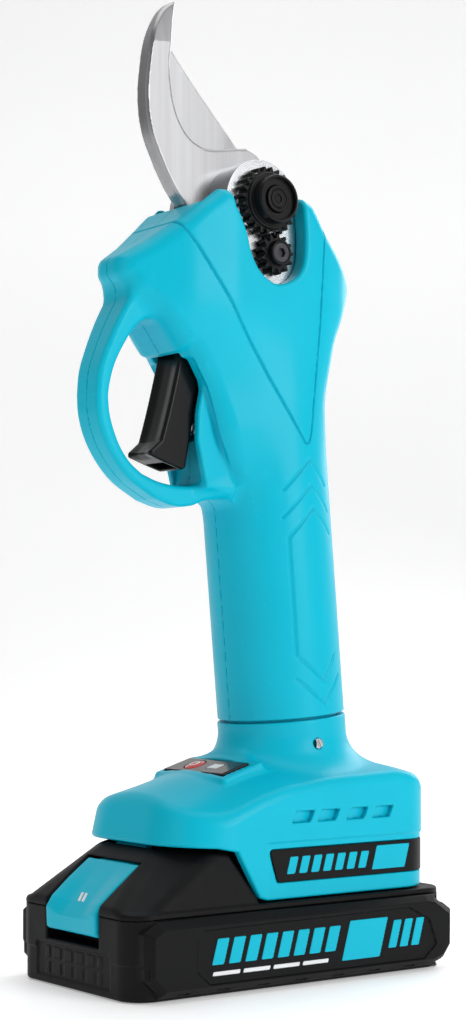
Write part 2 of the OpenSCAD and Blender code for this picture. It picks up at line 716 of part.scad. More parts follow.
module foot_shell() color(teal) difference() {
    union() {
        intersection() {
            foot_plan(24, 80, 0);
            along_y(-32, 32) foot_side();
            along_x(-40, 70) foot_front_view();
        }
        foot_flare();
    }
    foot_band_shape(0.8);
    // Channel that the pack slides into
    intersection() {
        box([-60, -27.9, 24], [block_x[1] + 0.2, 27.9, 44]);
        foot_plan(20, 50, wall);
    }
    // Wiring space above the rails
    intersection() {
        foot_plan(43, 58, wall);
        along_y(-32, 32) polygon([[-33, 43], [-33, 52.5], [-4, 59.6], [46, 58.8], [54, 56.5],
            [58, 52], [58, 43]]);
        along_x(-40, 70) polygon([[-28, 43], [28, 43], [28, 52], [23, 57.5], [15, 60], [-15, 60],
            [-23, 57.5], [-28, 52]]);
    }
    on_grip() translate([0, 0, -30]) cylinder(h = 31, r = 17.4);
    for (side = [-1, 1]) for (x = [3.7, 13.2, 24.2, 34.2])
        along_y(side * 29 - 4, side * 29 + 4) polygon([[x, 47.4], [x + 7, 47.4], [x + 8.6, 50.8],
            [x + 1.6, 50.8]]);
    collar_screw_set(1.4, 10, 24);
    collar_screw_set(2.9, 19.4, 24);
    translate(panel_at) rotate([0, -panel_slope, 0]) {
        box([-4.4, -14.2, -5.5], [4.4, 14.2, 5]);
        box([-5.3, -15.3, -0.1], [5.3, 15.3, 5]);
    }
}

module collar_screw_set(r, y0, y1) for (side = [-1, 1])
    pin_y(grip_x - 1, 69.6, r, side > 0 ? y0 : -y1, side > 0 ? y1 : -y0);

module collar_screws() color(dark_steel) for (side = [-1, 1]) {
    pin_y(grip_x - 1, 69.6, 1.4, side > 0 ? 15.2 : -19.5, side > 0 ? 19.5 : -15.2);
    pin_y(grip_x - 1, 69.6, 2.6, side > 0 ? 19.4 : -21, side > 0 ? 21 : -19.4);
}

module foot_band() color(black) foot_band_shape(0.8);

module rail_plate() color(black) difference() {
    intersection() {
        foot_plan(20, 50, wall + 0.05);
        rail_plate_blank();
    }
    for (p = foot_screw_at) translate([p[0], p[1], 40]) {
        cylinder(h = 9, r = 1.5);
        cylinder(h = 3.2, r = 2.8);
    }
    lead_slots(40, 46);
}

module rail_plate_blank() {
    box([-21, -27.9, 41.4], [block_x[1], 27.9, 44]);
    for (side = [-1, 1]) {
        box([-4, side > 0 ? 25.9 : -27.9, 27], [block_x[1], side > 0 ? 27.9 : -25.9, 42]);
        box([-4, side > 0 ? 23.3 : -27.9, 27], [block_x[1], side > 0 ? 27.9 : -23.3, 29.5]);
    }
    for (p = foot_screw_at) translate([p[0], p[1], 44 - eps]) cylinder(h = 4, r = 3);
}

// Slots that the two supply leads pass through.
module lead_slots(z0, z1) for (y = [-5.6, 5.6]) box([51.4, y - 2, z0], [54.8, y + 2, z1]);

module foot_screws() color(dark_steel) for (p = foot_screw_at) translate([p[0], p[1], 41.5]) {
    cylinder(h = 10, r = 1.5);
    cylinder(h = 1.6, r = 2.6);
}

module terminal_block() color(black) difference() {
    box([block_x[0], -15, 29], [block_x[1], 15, 41.4]);
    lead_slots(38, 42);
}

module tool_terminals() color([0.85, 0.65, 0.35]) for (y = terminal_at)
    box([36, y - 0.4, 31], [block_x[0], y + 0.4, 38]);

// ---- Control panel ----

module on_panel() translate(panel_at) rotate([0, -panel_slope, 0]) children();

module control_panel() color(black) difference() {
    on_panel() union() {
        box([-5.2, -15.2, -0.1], [5.2, 15.2, 1.1]);
        box([-4.3, -14.1, -3], [4.3, 14.1, 0]);
    }
    on_panel() {
        translate([0, 5.4, -4]) cylinder(h = 7, r = 3.55);
        box([-1.9, -7.4, 0.6], [1.9, -2.6, 2]);
    }
}

module power_button() color([0.85, 0.1, 0.1]) on_panel() {
    translate([0, 5.4, -1.6]) cylinder(h = 3, r = 3.4);
    translate([0, 5.4, -5.2]) cylinder(h = 3.7, r = 1.2);
}

module panel_board() on_panel() {
    color([0.05, 0.32, 0.15]) box([-4, -12, -8.2], [4, 12, -7]);
    color(black) box([-2, 3.4, -7], [2, 7.4, -6.1]);
}

module indicator_lens() color([0.9, 0.95, 1]) on_panel() for (i = [0:3])
    box([-1.7, -7.2 + 1.15 * i, 0.6], [1.7, -6.3 + 1.15 * i, 1.2]);

// ---- Battery pack ----

module bumper_outline() polygon([[-50, 8], [-45, 3], [56, 3], [pack_back, 9], [pack_back, 18],
    [58, 23], [-45, 23], [-50, 18]]);

module tub_plan(z0, z1, inset) translate([0, 0, z0]) linear_extrude(z1 - z0)
    polygon(round_box(pack_front, pack_back, 31.6, 9, inset));

module latch_space() along_y(-14, 14) polygon([[-62, 13.6], [-46.5, 13.6], [-43.4, 21.5],
    [-42.9, 24.9], [-36.6, 28.6], [-30, 28.6], [-30, 46], [-33.5, 46], [-33.5, 37.4],
    [-38.9, 36.9], [-50, 46], [-62, 46]]);

module battery_tub() color(black) difference() {
    union() {
        tub_plan(0, tub_top, 0);
        along_y(-pack_y, pack_y) bumper_outline();
    }
    intersection() {
        tub_plan(2.4, tub_top + 1, 2.2);
        box([cell_x0 - cell_r - 0.6, -40, 0], [70, 40, 30]);
    }
    box([cell_x0 - cell_r - 0.6, -33, 3.4], [60.5, 33, tub_top - 1.1]);
    box([-60, -19.8, 3.2], [-52.3, -14.8, 15.6]);
    box([-60, 14.8, 3.2], [-52.3, 19.8, 15.6]);
    box([-60, -15, 3.2], [-52.3, 15, 12.6]);
    for (p = pack_screw_at) translate([p[0], p[1], -1]) {
        cylinder(h = 6, r = 1.4);
        cylinder(h = 2, r = 2.6);
    }
    latch_space();
}

module pack_front_side() polygon([[pack_front + 0.4, tub_top], [pack_front + 0.4, 25.6], [-34.6, 40.4],
    [-32.8, 41.8], [-30, 42.2], [-22.4, 41.2], [-16.4, 39.5], [-8.6, 26], [-8, tub_top]]);

module battery_cover() color(black) difference() {
    union() {
        tub_plan(tub_top, cover_top, 0);
        intersection() {
            tub_plan(tub_top, 44, 0.6);
            along_y(-31, 31) pack_front_side();
        }
        box([-22, -deck_y, cover_top - eps], [deck_back, deck_y, deck_top]);
        box([-4, -25.5, 30], [deck_back, 25.5, 34]);
    }
    latch_space();
    // Room inside the front block and the deck
    box([-28, -20, 22], [deck_back - 2.5, 20, 38.6]);
    for (y = terminal_at) box([35, y - 0.9, 30], [deck_back + 1, y + 0.9, 39.4]);
}

module battery_cells() color([0.35, 0.5, 0.75]) for (i = [0:4])
    pin_y(cell_x0 + cell_pitch * i, cell_z, cell_r, -cell_len / 2, cell_len / 2);

module cell_straps() color([0.8, 0.8, 0.78]) for (side = [-1, 1]) for (i = [0:1])
    box([cell_x0 + cell_pitch * (2 * i + (side > 0 ? 1 : 0)) - 4, side > 0 ? 32.55 : -32.85, 9],
        [cell_x0 + cell_pitch * (2 * i + 1 + (side > 0 ? 1 : 0)) + 4, side > 0 ? 32.85 : -32.55, 16]);

module battery_board() color([0.05, 0.32, 0.15]) box([-27, -18, 24.6], [43, 18, 26.2]);

module battery_terminals() color([0.85, 0.65, 0.35]) for (y = terminal_at) for (side = [-1, 1])
    box([35.4, side > 0 ? y + 0.5 : y - 0.85, 26.2], [42, side > 0 ? y + 0.85 : y - 0.5, 37.5]);

module battery_screws() color(steel) for (p = pack_screw_at) translate([p[0], p[1], 0.4]) {
    cylinder(h = 4.4, r = 1.4);
    cylinder(h = 0.6, r = 2.6);
}

module battery_latch() color(teal) {
    along_y(-13.4, 13.4) polygon([[-38.6, 36.5], [-39.5, 36], [-52.6, 25.2], [-53.4, 22.8],
        [-53.2, 17.4], [-52.6, 16.7], [-50.6, 16.7], [-50.2, 21.6], [-38.6, 32.4], [-37.4, 34.2]]);
    // Hook under the front edge of the foot
    along_y(-8, 8) polygon([[-39, 33.6], [-38.4, 34.2], [-30.5, 34.2], [-30.5, 42.3], [-32.4, 42.3],
        [-33.1, 41.2], [-33.1, 36.8], [-38.6, 36.4]]);
}

module latch_spring() color(steel) translate([-34.9, 0, 28.65]) coil(1.8, 0.3, 5.5, 4);

fixed_blade();
moving_blade();
sector_gear();
sector_screws();
pivot_bush();
pivot_bolt();
pivot_washers();
lock_nut();
lock_gear();
lock_gear_screw();
head_frame();
gear_cover();
frame_screws();
bevel_pinion();
bearing_inner_ring();
bearing_outer_ring();
bearing_balls();
gearbox_front();
ring_gear();
planet_carrier();
planet_gear_1();
planet_gear_2();
planet_gear_3();
sun_gear();
motor_plate();
motor_can();
motor_stator();
motor_rotor();
motor_bearings();
motor_end_cap();
control_board();
board_parts();
wiring();
housing_left();
housing_right();
housing_screws();
trigger();
trigger_pin();
trigger_spring();
trigger_switch();
foot_shell();
foot_band();
collar_screws();
rail_plate();
foot_screws();
terminal_block();
tool_terminals();
control_panel();
power_button();
indicator_lens();
panel_board();
battery_tub();
battery_cover();
battery_cells();
cell_straps();
battery_board();
battery_terminals();
battery_screws();
battery_latch();
latch_spring();
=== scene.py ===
"""Looks of a battery electric pruner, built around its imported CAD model.

Shapes are worked out in millimetres in the CAD frame: -X is the trigger side, -Y the left side
and +Z up. Each moulded or ground piece is a field, a function that gives the signed distance to
its surface (negative inside). surface() turns a field into a mesh whose vertices lie on it.
"""

import json
import math

import bmesh
import bpy
import numpy as np
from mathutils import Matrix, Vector

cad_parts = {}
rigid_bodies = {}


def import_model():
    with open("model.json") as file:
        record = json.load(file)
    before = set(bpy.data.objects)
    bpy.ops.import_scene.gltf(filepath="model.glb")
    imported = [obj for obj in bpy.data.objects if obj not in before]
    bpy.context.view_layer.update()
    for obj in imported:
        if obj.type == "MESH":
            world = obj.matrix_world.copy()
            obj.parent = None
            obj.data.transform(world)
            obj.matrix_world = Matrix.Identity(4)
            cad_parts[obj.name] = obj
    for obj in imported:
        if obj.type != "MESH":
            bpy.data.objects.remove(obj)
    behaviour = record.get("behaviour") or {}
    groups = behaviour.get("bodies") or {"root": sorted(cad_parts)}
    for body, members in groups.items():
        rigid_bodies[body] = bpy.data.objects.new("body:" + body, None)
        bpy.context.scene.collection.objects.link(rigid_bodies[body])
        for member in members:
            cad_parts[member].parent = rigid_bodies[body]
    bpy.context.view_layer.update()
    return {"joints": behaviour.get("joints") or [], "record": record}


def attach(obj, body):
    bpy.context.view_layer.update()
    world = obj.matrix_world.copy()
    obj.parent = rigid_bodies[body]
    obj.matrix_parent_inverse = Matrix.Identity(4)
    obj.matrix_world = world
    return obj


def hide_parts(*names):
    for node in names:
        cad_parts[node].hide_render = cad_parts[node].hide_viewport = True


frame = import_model()

MM = 0.001
COARSE = 1.0
JOINTS = {joint["name"]: joint for joint in frame["joints"]}

# ---- Places taken from the frame, in millimetres ----

PIVOT_X, _, PIVOT_Z = [v / MM for v in JOINTS["blade_swing"]["pos_m"]]
DRIVE_UP_X, _, DRIVE_UP_Z = JOINTS["output_spin"]["axis"]
TRIGGER_X, _, TRIGGER_Z = [v / MM for v in JOINTS["trigger_pull"]["pos_m"]]
GRIP_TILT = math.radians(5.1)
GRIP_X = 22.9
GRIP_R = 19.6
SEAM_Z = 79.0
FRAME_BLOCK_END = 33.0

# ---- Fields ----


def meet(a, b, r=0.0):
    """Both a and b, with their shared edge rounded to radius r."""
    if np.isscalar(r) and r == 0:
        return np.maximum(a, b)
    u = np.maximum(a + r, 0)
    v = np.maximum(b + r, 0)
    return np.minimum(np.maximum(a, b), -r) + np.hypot(u, v)


def join(a, b, r=0.0):
    """Either a or b, with a fillet of radius r between them."""
    return -meet(-a, -b, r)


def cut(a, b, r=0.0):
    """a without b, with the new edge rounded to radius r."""
    return meet(a, -b, r)


def chamfer(a, b, c):
    """Both a and b, with their shared edge cut off c millimetres from it."""
    return np.maximum(np.maximum(a, b), (a + b + c) * 0.7071)


def slab(v, low, high):
    return np.maximum(low - v, v - high)


def block(x, y, z, low, high, r=0.0):
    """A box with every edge rounded to radius r."""
    q = [abs(v - (a + b) / 2) - (b - a) / 2 + r for v, a, b in zip((x, y, z), low, high)]
    outside = np.sqrt(sum(np.maximum(v, 0) ** 2 for v in q))
    return outside + np.minimum(np.maximum(np.maximum(q[0], q[1]), q[2]), 0) - r


def smooth_step(t):
    t = np.clip(t, 0, 1)
    return t * t * (3 - 2 * t)


def groove(distance, width, depth):
    """How much a groove of this width and depth takes off, at a distance from its middle."""
    return depth * smooth_step(1 - distance / (width / 2))


# ---- Outlines ----


def rounded(points, r, steps=5):
    """A closed outline with every corner rounded; r is one radius or one per corner."""
    radii = r if isinstance(r, (list, tuple)) else [r] * len(points)
    out = []
    for i, p in enumerate(points):
        p = np.array(p, float)
        before = np.array(points[i - 1], float) - p
        after = np.array(points[(i + 1) % len(points)], float) - p
        la, lb = np.linalg.norm(before), np.linalg.norm(after)
        half = math.acos(np.clip(np.dot(before, after) / (la * lb), -0.9999, 0.9999)) / 2
        reach = min(radii[i] / math.tan(half), 0.48 * la, 0.48 * lb)
        a, b = p + before / la * reach, p + after / lb * reach
        for k in range(steps + 1):
            t = k / steps
            out.append(a * (1 - t) ** 2 + p * 2 * t * (1 - t) + b * t * t)
    return out


def spline(points, steps=6):
    """A smooth open curve through the points."""
    pts = [np.array(p, float) for p in points]
    pts = [2 * pts[0] - pts[1]] + pts + [2 * pts[-1] - pts[-2]]
    out = []
    for a, b, c, d in zip(pts, pts[1:], pts[2:], pts[3:]):
        for k in range(steps):
            t = k / steps
            square, cube = 2 * a - 5 * b + 4 * c - d, 3 * b - a - 3 * c + d
            out.append(0.5 * (2 * b + (c - a) * t + square * t * t + cube * t**3))
    out.append(pts[-2])
    return out


def bezier(a, b, c, d, steps=14):
    a, b, c, d = [np.array(p, float) for p in (a, b, c, d)]
    ts = [i / steps for i in range(steps + 1)]
    return [(1 - t) ** 3 * a + 3 * (1 - t) ** 2 * t * b + 3 * (1 - t) * t * t * c + t**3 * d
        for t in ts]


def arc(cx, cy, r, start, end, steps=8):
    angles = [math.radians(start + (end - start) * i / steps) for i in range(steps + 1)]
    return [(cx + r * math.cos(a), cy + r * math.sin(a)) for a in angles]


class Plane:
    """Distances to an outline, read from a table. A closed outline is negative inside."""

    CELL = 0.3

    def __init__(self, points, closed=True, margin=6):
        pts = np.array(points, np.float32)
        self.low = pts.min(0) - margin
        self.count = ((pts.max(0) + margin - self.low) / self.CELL).astype(int) + 2
        u, v = [lo + self.CELL * np.arange(n, dtype=np.float32)
            for lo, n in zip(self.low, self.count)]
        u, v = np.meshgrid(u, v, indexing="ij")
        best = np.full(u.shape, 1e9, np.float32)
        inside = np.zeros(u.shape, bool)
        for i in range(0 if closed else 1, len(pts)):
            (au, av), (bu, bv) = pts[i - 1], pts[i]
            eu, ev = bu - au, bv - av
            t = np.clip(((u - au) * eu + (v - av) * ev) / max(eu * eu + ev * ev, 1e-9), 0, 1)
            best = np.minimum(best, (u - au - eu * t) ** 2 + (v - av - ev * t) ** 2)
            if closed and abs(ev) > 1e-9:
                inside ^= ((av > v) != (bv > v)) & (u < eu * (v - av) / ev + au)
        self.table = np.where(inside, -np.sqrt(best), np.sqrt(best)).ravel()

    def __call__(self, u, v):
        fu = np.clip((u - self.low[0]) / self.CELL, 0, self.count[0] - 1.01)
        fv = np.clip((v - self.low[1]) / self.CELL, 0, self.count[1] - 1.01)
        i, j = fu.astype(np.int32), fv.astype(np.int32)
        tu, tv = fu - i, fv - j
        k = i * self.count[1] + j
        near = self.table[k] * (1 - tv) + self.table[k + 1] * tv
        k += self.count[1]
        far = self.table[k] * (1 - tv) + self.table[k + 1] * tv
        beyond = np.hypot(u - self.low[0] - fu * self.CELL, v - self.low[1] - fv * self.CELL)
        return near * (1 - tu) + far * tu + beyond


class Curve:
    """A smooth curve value(at), through the given values."""

    def __init__(self, at, values, blur=2.0):
        self.at = np.arange(at[0] - 10, at[-1] + 10, 0.25)
        raw = np.interp(self.at, at, values)
        width = int(blur * 3 / 0.25)
        weights = np.exp(-0.5 * (np.arange(-width, width + 1) * 0.25 / blur) ** 2)
        padded = np.pad(raw, width, mode="edge")
        self.values = np.convolve(padded, weights / weights.sum(), mode="valid")

    def __call__(self, at):
        return np.interp(at, self.at, self.values)


def on_drive(x, z):
    """Distance down the motor axis from the pivot, and distance across it."""
    dx, dz = x - PIVOT_X, z - PIVOT_Z
    return -(dx * DRIVE_UP_X + dz * DRIVE_UP_Z), dx * DRIVE_UP_Z - dz * DRIVE_UP_X


def on_grip(x, z):
    """Height up the grip's axis from the seam, and distance across it."""
    dx, dz = x - GRIP_X, z - SEAM_Z
    cos, sin = math.cos(GRIP_TILT), math.sin(GRIP_TILT)
    return dz * cos - dx * sin, dx * cos + dz * sin


def drive_cylinder(x, y, z, s0, s1, r):
    s, across = on_drive(x, z)
    return np.maximum(np.hypot(across, y) - r, slab(s, s0, s1))


def grip_cylinder(x, y, z, h0, h1, r):
    h, across = on_grip(x, z)
    return np.maximum(np.hypot(across, y) - r, slab(h, h0, h1))


def pin(x, y, z, at, r, y0, y1):
    return np.maximum(np.hypot(x - at[0], z - at[1]) - r, slab(y, y0, y1))


# ---- From field to mesh ----

BLOCK = 4
CORNERS = [(i, j, k) for i in (0, 1) for j in (0, 1) for k in (0, 1)]
EDGES = [(a, b) for a in range(8) for b in range(a + 1, 8) if bin(a ^ b).count("1") == 1]


def sample(field, low, high, cell):
    """The field on a grid, worked out exactly only in blocks near its surface."""
    size = cell * BLOCK
    counts = [int(math.ceil((b - a) / size)) for a, b in zip(low, high)]
    axes = [a + size * (np.arange(n, dtype=np.float32) + 0.5) for a, n in zip(low, counts)]
    centres = [c.ravel() for c in np.meshgrid(*axes, indexing="ij")]
    coarse = field(*centres).reshape(counts)
    near = np.abs(coarse) < size * 1.15
    grid = np.where(coarse < 0, -size, size).astype(np.float32)
    for axis in range(3):
        grid = np.repeat(grid, BLOCK, axis)
        near = np.repeat(near, BLOCK, axis)
    where = np.nonzero(near)
    points = [a + cell * w.astype(np.float32) for a, w in zip(low, where)]
    grid[where] = field(*points)
    return grid


def surface_net(grid, low, cell):
    """A vertex in each cell that the surface crosses, and a quad on each crossed edge."""
    inside = grid < 0
    shape = tuple(n - 1 for n in grid.shape)
    part = [inside[i : i + shape[0], j : j + shape[1], k : k + shape[2]] for i, j, k in CORNERS]
    some, every = part[0].copy(), part[0].copy()
    for p in part[1:]:
        some |= p
        every &= p
    cells = np.argwhere(some & ~every)
    ids = np.full(shape, -1, np.int64)
    ids[tuple(cells.T)] = np.arange(len(cells))
    value = np.stack([grid[tuple((cells + c).T)] for c in CORNERS], 1)
    total = np.zeros((len(cells), 3))
    hits = np.zeros(len(cells))
    for a, b in EDGES:
        va, vb = value[:, a], value[:, b]
        crossed = (va < 0) != (vb < 0)
        t = np.where(crossed, va / np.where(crossed, va - vb, 1), 0)[:, None]
        ca, cb = np.array(CORNERS[a]), np.array(CORNERS[b])
        total += np.where(crossed[:, None], ca + t * (cb - ca), 0)
        hits += crossed
    verts = (cells + total / hits[:, None]) * cell + np.array(low)
    quads = []
    for axis in range(3):
        o1, o2 = [v for v in range(3) if v != axis]
        first = [slice(1, n) for n in shape]
        second = [slice(1, n) for n in shape]
        first[axis], second[axis] = slice(0, shape[axis]), slice(1, shape[axis] + 1)
        a, b = inside[tuple(first)], inside[tuple(second)]
        for swap, hit in ((False, a & ~b), (True, b & ~a)):
            at = np.argwhere(hit)
            offset = np.ones(3, int)
            offset[axis] = 0
            at = at + offset
            ring = []
            for d1, d2 in ((1, 1), (0, 1), (0, 0), (1, 0)):
                c = at.copy()
                c[:, o1] -= d1
                c[:, o2] -= d2
                ring.append(ids[tuple(c.T)])
            quad = np.stack(ring, 1)
            if swap != (axis == 1):
                quad = quad[:, ::-1]
            quads.append(quad)
    return verts, np.concatenate(quads)


def slope(field, p, step):
    """The field's value and gradient at points p."""
    grad = np.empty_like(p)
    for axis in range(3):
        a, b = p.copy(), p.copy()
        a[:, axis] += step
        b[:, axis] -= step
        grad[:, axis] = (field(*a.T) - field(*b.T)) / (2 * step)
    return field(*p.T), grad


def settle(field, p, cell, times=2):
    """Moves points onto the field's surface."""
    for _ in range(times):
        value, grad = slope(field, p, 0.05)
        size = np.maximum((grad**2).sum(1), 0.25)
        move = -(value / size)[:, None] * grad
        length = np.sqrt((move**2).sum(1))
        move *= (np.minimum(length, cell * 0.6) / np.maximum(length, 1e-9))[:, None]
        p = p + move
    return p


def even_out(p, quads, field, cell):
    """Slides each vertex towards the middle of its neighbours, then back onto the surface."""
    near = np.zeros_like(p)
    count = np.zeros(len(p))
    for a, b in ((0, 1), (1, 2), (2, 3), (3, 0)):
        for i, j in ((a, b), (b, a)):
            for axis in range(3):
                near[:, axis] += np.bincount(quads[:, i], p[quads[:, j], axis], len(p))
            count += np.bincount(quads[:, i], minlength=len(p))
    p = p + 0.5 * (near / np.maximum(count, 1)[:, None] - p)
    return settle(field, p, cell)


def make_mesh(name, verts, quads, normals=None):
    mesh = bpy.data.meshes.new(name)
    mesh.vertices.add(len(verts))
    mesh.vertices.foreach_set("co", (verts * MM).astype(np.float32).ravel())
    mesh.loops.add(quads.size)
    mesh.loops.foreach_set("vertex_index", quads.astype(np.int32).ravel())
    mesh.polygons.add(len(quads))
    mesh.polygons.foreach_set("loop_start", np.arange(0, quads.size, 4, dtype=np.int32))
    mesh.update(calc_edges=True)
    mesh.shade_smooth()
    if normals is not None:
        mesh.normals_split_custom_set_from_vertices(normals)
    return mesh


def add_object(name, mesh, body, material, replaces=()):
    obj = bpy.data.objects.new(name, mesh)
    bpy.context.scene.collection.objects.link(obj)
    obj.data.materials.clear()
    obj.data.materials.append(material)
    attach(obj, body)
    if replaces:
        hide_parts(*replaces)
    return obj


def surface(name, field, low, high, cell, body, material, replaces=()):
    """Makes the piece whose shape is this field, inside the box from low to high."""
    cell = cell * COARSE
    low = [v - 1.5 * cell for v in low]
    high = [v + 2.5 * cell for v in high]
    verts, quads = surface_net(sample(field, low, high, cell), low, cell)
    verts = settle(field, verts, cell, 1)
    verts = even_out(verts, quads, field, cell)
    _, grad = slope(field, verts, 0.12)
    normals = grad / np.maximum(np.linalg.norm(grad, axis=1), 1e-9)[:, None]
    return add_object(name, make_mesh(name, verts, quads, normals), body, material, replaces)

# ---- Materials ----


class Shader:
    """Builds one material's nodes around a Principled BSDF."""

    def __init__(self, name, color, roughness, **constants):
        self.material = bpy.data.materials.new(name)
        self.material.use_nodes = True
        self.tree = self.material.node_tree
        self.bsdf = self.tree.nodes["Principled BSDF"]
        self.coords = self.node("ShaderNodeTexCoord").outputs["Object"]
        self.bsdf.inputs["Base Color"].default_value = (*color, 1)
        self.bsdf.inputs["Roughness"].default_value = roughness
        for key, value in constants.items():
            self.bsdf.inputs[key.replace("_", " ")].default_value = value

    def node(self, kind, **settings):
        node = self.tree.nodes.new(kind)
        for key, value in settings.items():
            setattr(node, key, value)
        return node

    def link(self, a, b):
        self.tree.links.new(a, b)

    def noise(self, scale, detail=4.0, stretch=(1, 1, 1), turn=(0, 0, 0), roughness=0.55):
        """Noise whose grain is 1/scale metres, stretched along the axes."""
        place = self.node("ShaderNodeMapping")
        place.inputs["Rotation"].default_value = turn
        place.inputs["Scale"].default_value = stretch
        texture = self.node("ShaderNodeTexNoise")
        texture.inputs["Scale"].default_value = scale
        texture.inputs["Detail"].default_value = detail
        texture.inputs["Roughness"].default_value = roughness
        self.link(self.coords, place.inputs["Vector"])
        self.link(place.outputs["Vector"], texture.inputs["Vector"])
        return texture.outputs["Fac"]

    def spread(self, value, low, high, from_low=0.3, from_high=0.7):
        """Maps a value in 0..1 to low..high."""
        node = self.node("ShaderNodeMapRange")
        node.inputs["From Min"].default_value = from_low
        node.inputs["From Max"].default_value = from_high
        node.inputs["To Min"].default_value = low
        node.inputs["To Max"].default_value = high
        self.link(value, node.inputs["Value"])
        return node.outputs["Result"]

    def blend(self, value, a, b):
        """A colour between a and b."""
        node = self.node("ShaderNodeMix", data_type="RGBA")
        self.link(value, node.inputs["Factor"])
        for socket, color in ((node.inputs[6], a), (node.inputs[7], b)):
            if isinstance(color, tuple):
                socket.default_value = (*color, 1)
            else:
                self.link(color, socket)
        return node.outputs[2]

    def edges(self):
        """Near 1 on worn outer edges, near 0 elsewhere."""
        return self.spread(self.node("ShaderNodeNewGeometry").outputs["Pointiness"], 0, 1, 0.53,
            0.62)

    def crease_shade(self):
        """Near 1 in grooves and inner corners, where painted shade goes."""
        return self.spread(self.node("ShaderNodeNewGeometry").outputs["Pointiness"], 1, 0, 0.40,
            0.48)

    def bump(self, height, distance, strength=1.0, normal=None):
        node = self.node("ShaderNodeBump")
        node.inputs["Distance"].default_value = distance
        node.inputs["Strength"].default_value = strength
        self.link(height, node.inputs["Height"])
        if normal is not None:
            self.link(normal, node.inputs["Normal"])
        return node.outputs["Normal"]

    def finish(self, color=None, roughness=None, normal=None):
        for value, name in ((color, "Base Color"), (roughness, "Roughness"), (normal, "Normal")):
            if value is not None:
                self.link(value, self.bsdf.inputs[name])
        return self.material


def moulded_plastic(name, color, roughness, grain=900, depth=0.00002, coat=0.0, worn=0.25,
    sheen=0.15):
    """Injection-moulded plastic: fine grain, slight unevenness, painted shade in creases, and
    rubbed edges.
    """
    shader = Shader(name, color, roughness, IOR=1.5, Specular_IOR_Level=sheen, Coat_Weight=coat,
                    Coat_Roughness=0.18)
    cloud = shader.noise(22, 3)
    dull = tuple(c * 0.86 for c in color)
    rubbed = tuple(min(1.0, c * (1 + worn) + worn * 0.01) for c in color)
    base = shader.blend(shader.spread(cloud, 0, 0.55), color, dull)
    # Painted shade: grooves and inner corners are darkened to 0.45 of the colour.
    base = shader.blend(shader.spread(shader.crease_shade(), 0, 0.55, 0, 1), base,
        tuple(c * 0.45 for c in color))
    base = shader.blend(shader.spread(shader.edges(), 0, 0.6, 0, 1), base, rubbed)
    rough = shader.spread(shader.noise(60, 5), roughness - 0.04, roughness + 0.05)
    normal = shader.bump(shader.noise(grain, 2), depth)
    return shader.finish(base, rough, normal)


def brushed_steel(name, color, roughness, turn, marks=1.0):
    """Ground steel: fine marks along one direction, with a few deeper ones."""
    shader = Shader(name, color, roughness, Metallic=1.0, Anisotropic=0.5)
    fine = shader.noise(160, 6, (1, 1, 0.02), turn, 0.7)
    deep = shader.noise(45, 4, (1, 1, 0.03), turn, 0.6)
    base = shader.blend(shader.spread(fine, 0, 1), tuple(c * 0.78 for c in color), color)
    rough = shader.spread(deep, roughness - 0.07 * marks, roughness + 0.1 * marks)
    normal = shader.bump(fine, 0.00001 * marks)
    normal = shader.bump(deep, 0.000015 * marks, 0.6, normal)
    return shader.finish(base, rough, normal)


def machined(name, color, roughness, spotted=0.5, metallic=1.0, sheen=0.5):
    """Machined, coated or cast metal with a fine mottled finish."""
    shader = Shader(name, color, roughness, Metallic=metallic, Specular_IOR_Level=sheen)
    cloud = shader.noise(70, 5)
    base = shader.blend(shader.spread(cloud, 0, spotted), color, tuple(c * 0.7 for c in color))
    base = shader.blend(shader.spread(shader.edges(), 0, 0.5, 0, 1), base,
        tuple(min(1, c * 1.6) for c in color))
    rough = shader.spread(shader.noise(240, 4), roughness - 0.05, roughness + 0.08)
    normal = shader.bump(shader.noise(700, 3), 0.00001)
    return shader.finish(base, rough, normal)


TEAL = (0.0, 0.50, 0.67)
BLACK = (0.0035, 0.0035, 0.0038)
WHITE = (0.86, 0.87, 0.88)
teal_plastic = moulded_plastic("teal_plastic", TEAL, 0.38, coat=0.07, worn=0.06)
black_plastic = moulded_plastic("black_plastic", BLACK, 0.42, grain=1300, depth=0.00003, worn=0.3)
pack_plastic = moulded_plastic("pack_plastic", BLACK, 0.5, grain=1100, depth=0.00004, worn=0.3)
trigger_black = moulded_plastic("trigger_black", BLACK, 0.3, grain=1300, depth=0.00001, coat=0.12,
    worn=0.2)
gloss_black = moulded_plastic("gloss_black", (0.008, 0.008, 0.009), 0.16, grain=600,
    depth=0.000002, coat=0.15)
red_plastic = moulded_plastic("red_plastic", (0.62, 0.03, 0.025), 0.25, grain=700, depth=0.000005,
    coat=0.5)
white_plastic = moulded_plastic("white_plastic", WHITE, 0.4, grain=800, depth=0.000005, worn=0.05)
hook_steel = brushed_steel("hook_steel", (0.40, 0.40, 0.41), 0.3, (0, 0.12, 0), 0.8)
blade_steel = brushed_steel("blade_steel", (0.41, 0.41, 0.42), 0.3, (0, 0.45, 0), 1.6)
black_oxide = machined("black_oxide", (0.004, 0.004, 0.0045), 0.32, metallic=0.0, sheen=0.2)
bright_screw = machined("bright_screw", (0.62, 0.62, 0.64), 0.25)

# ---- Housing halves ----

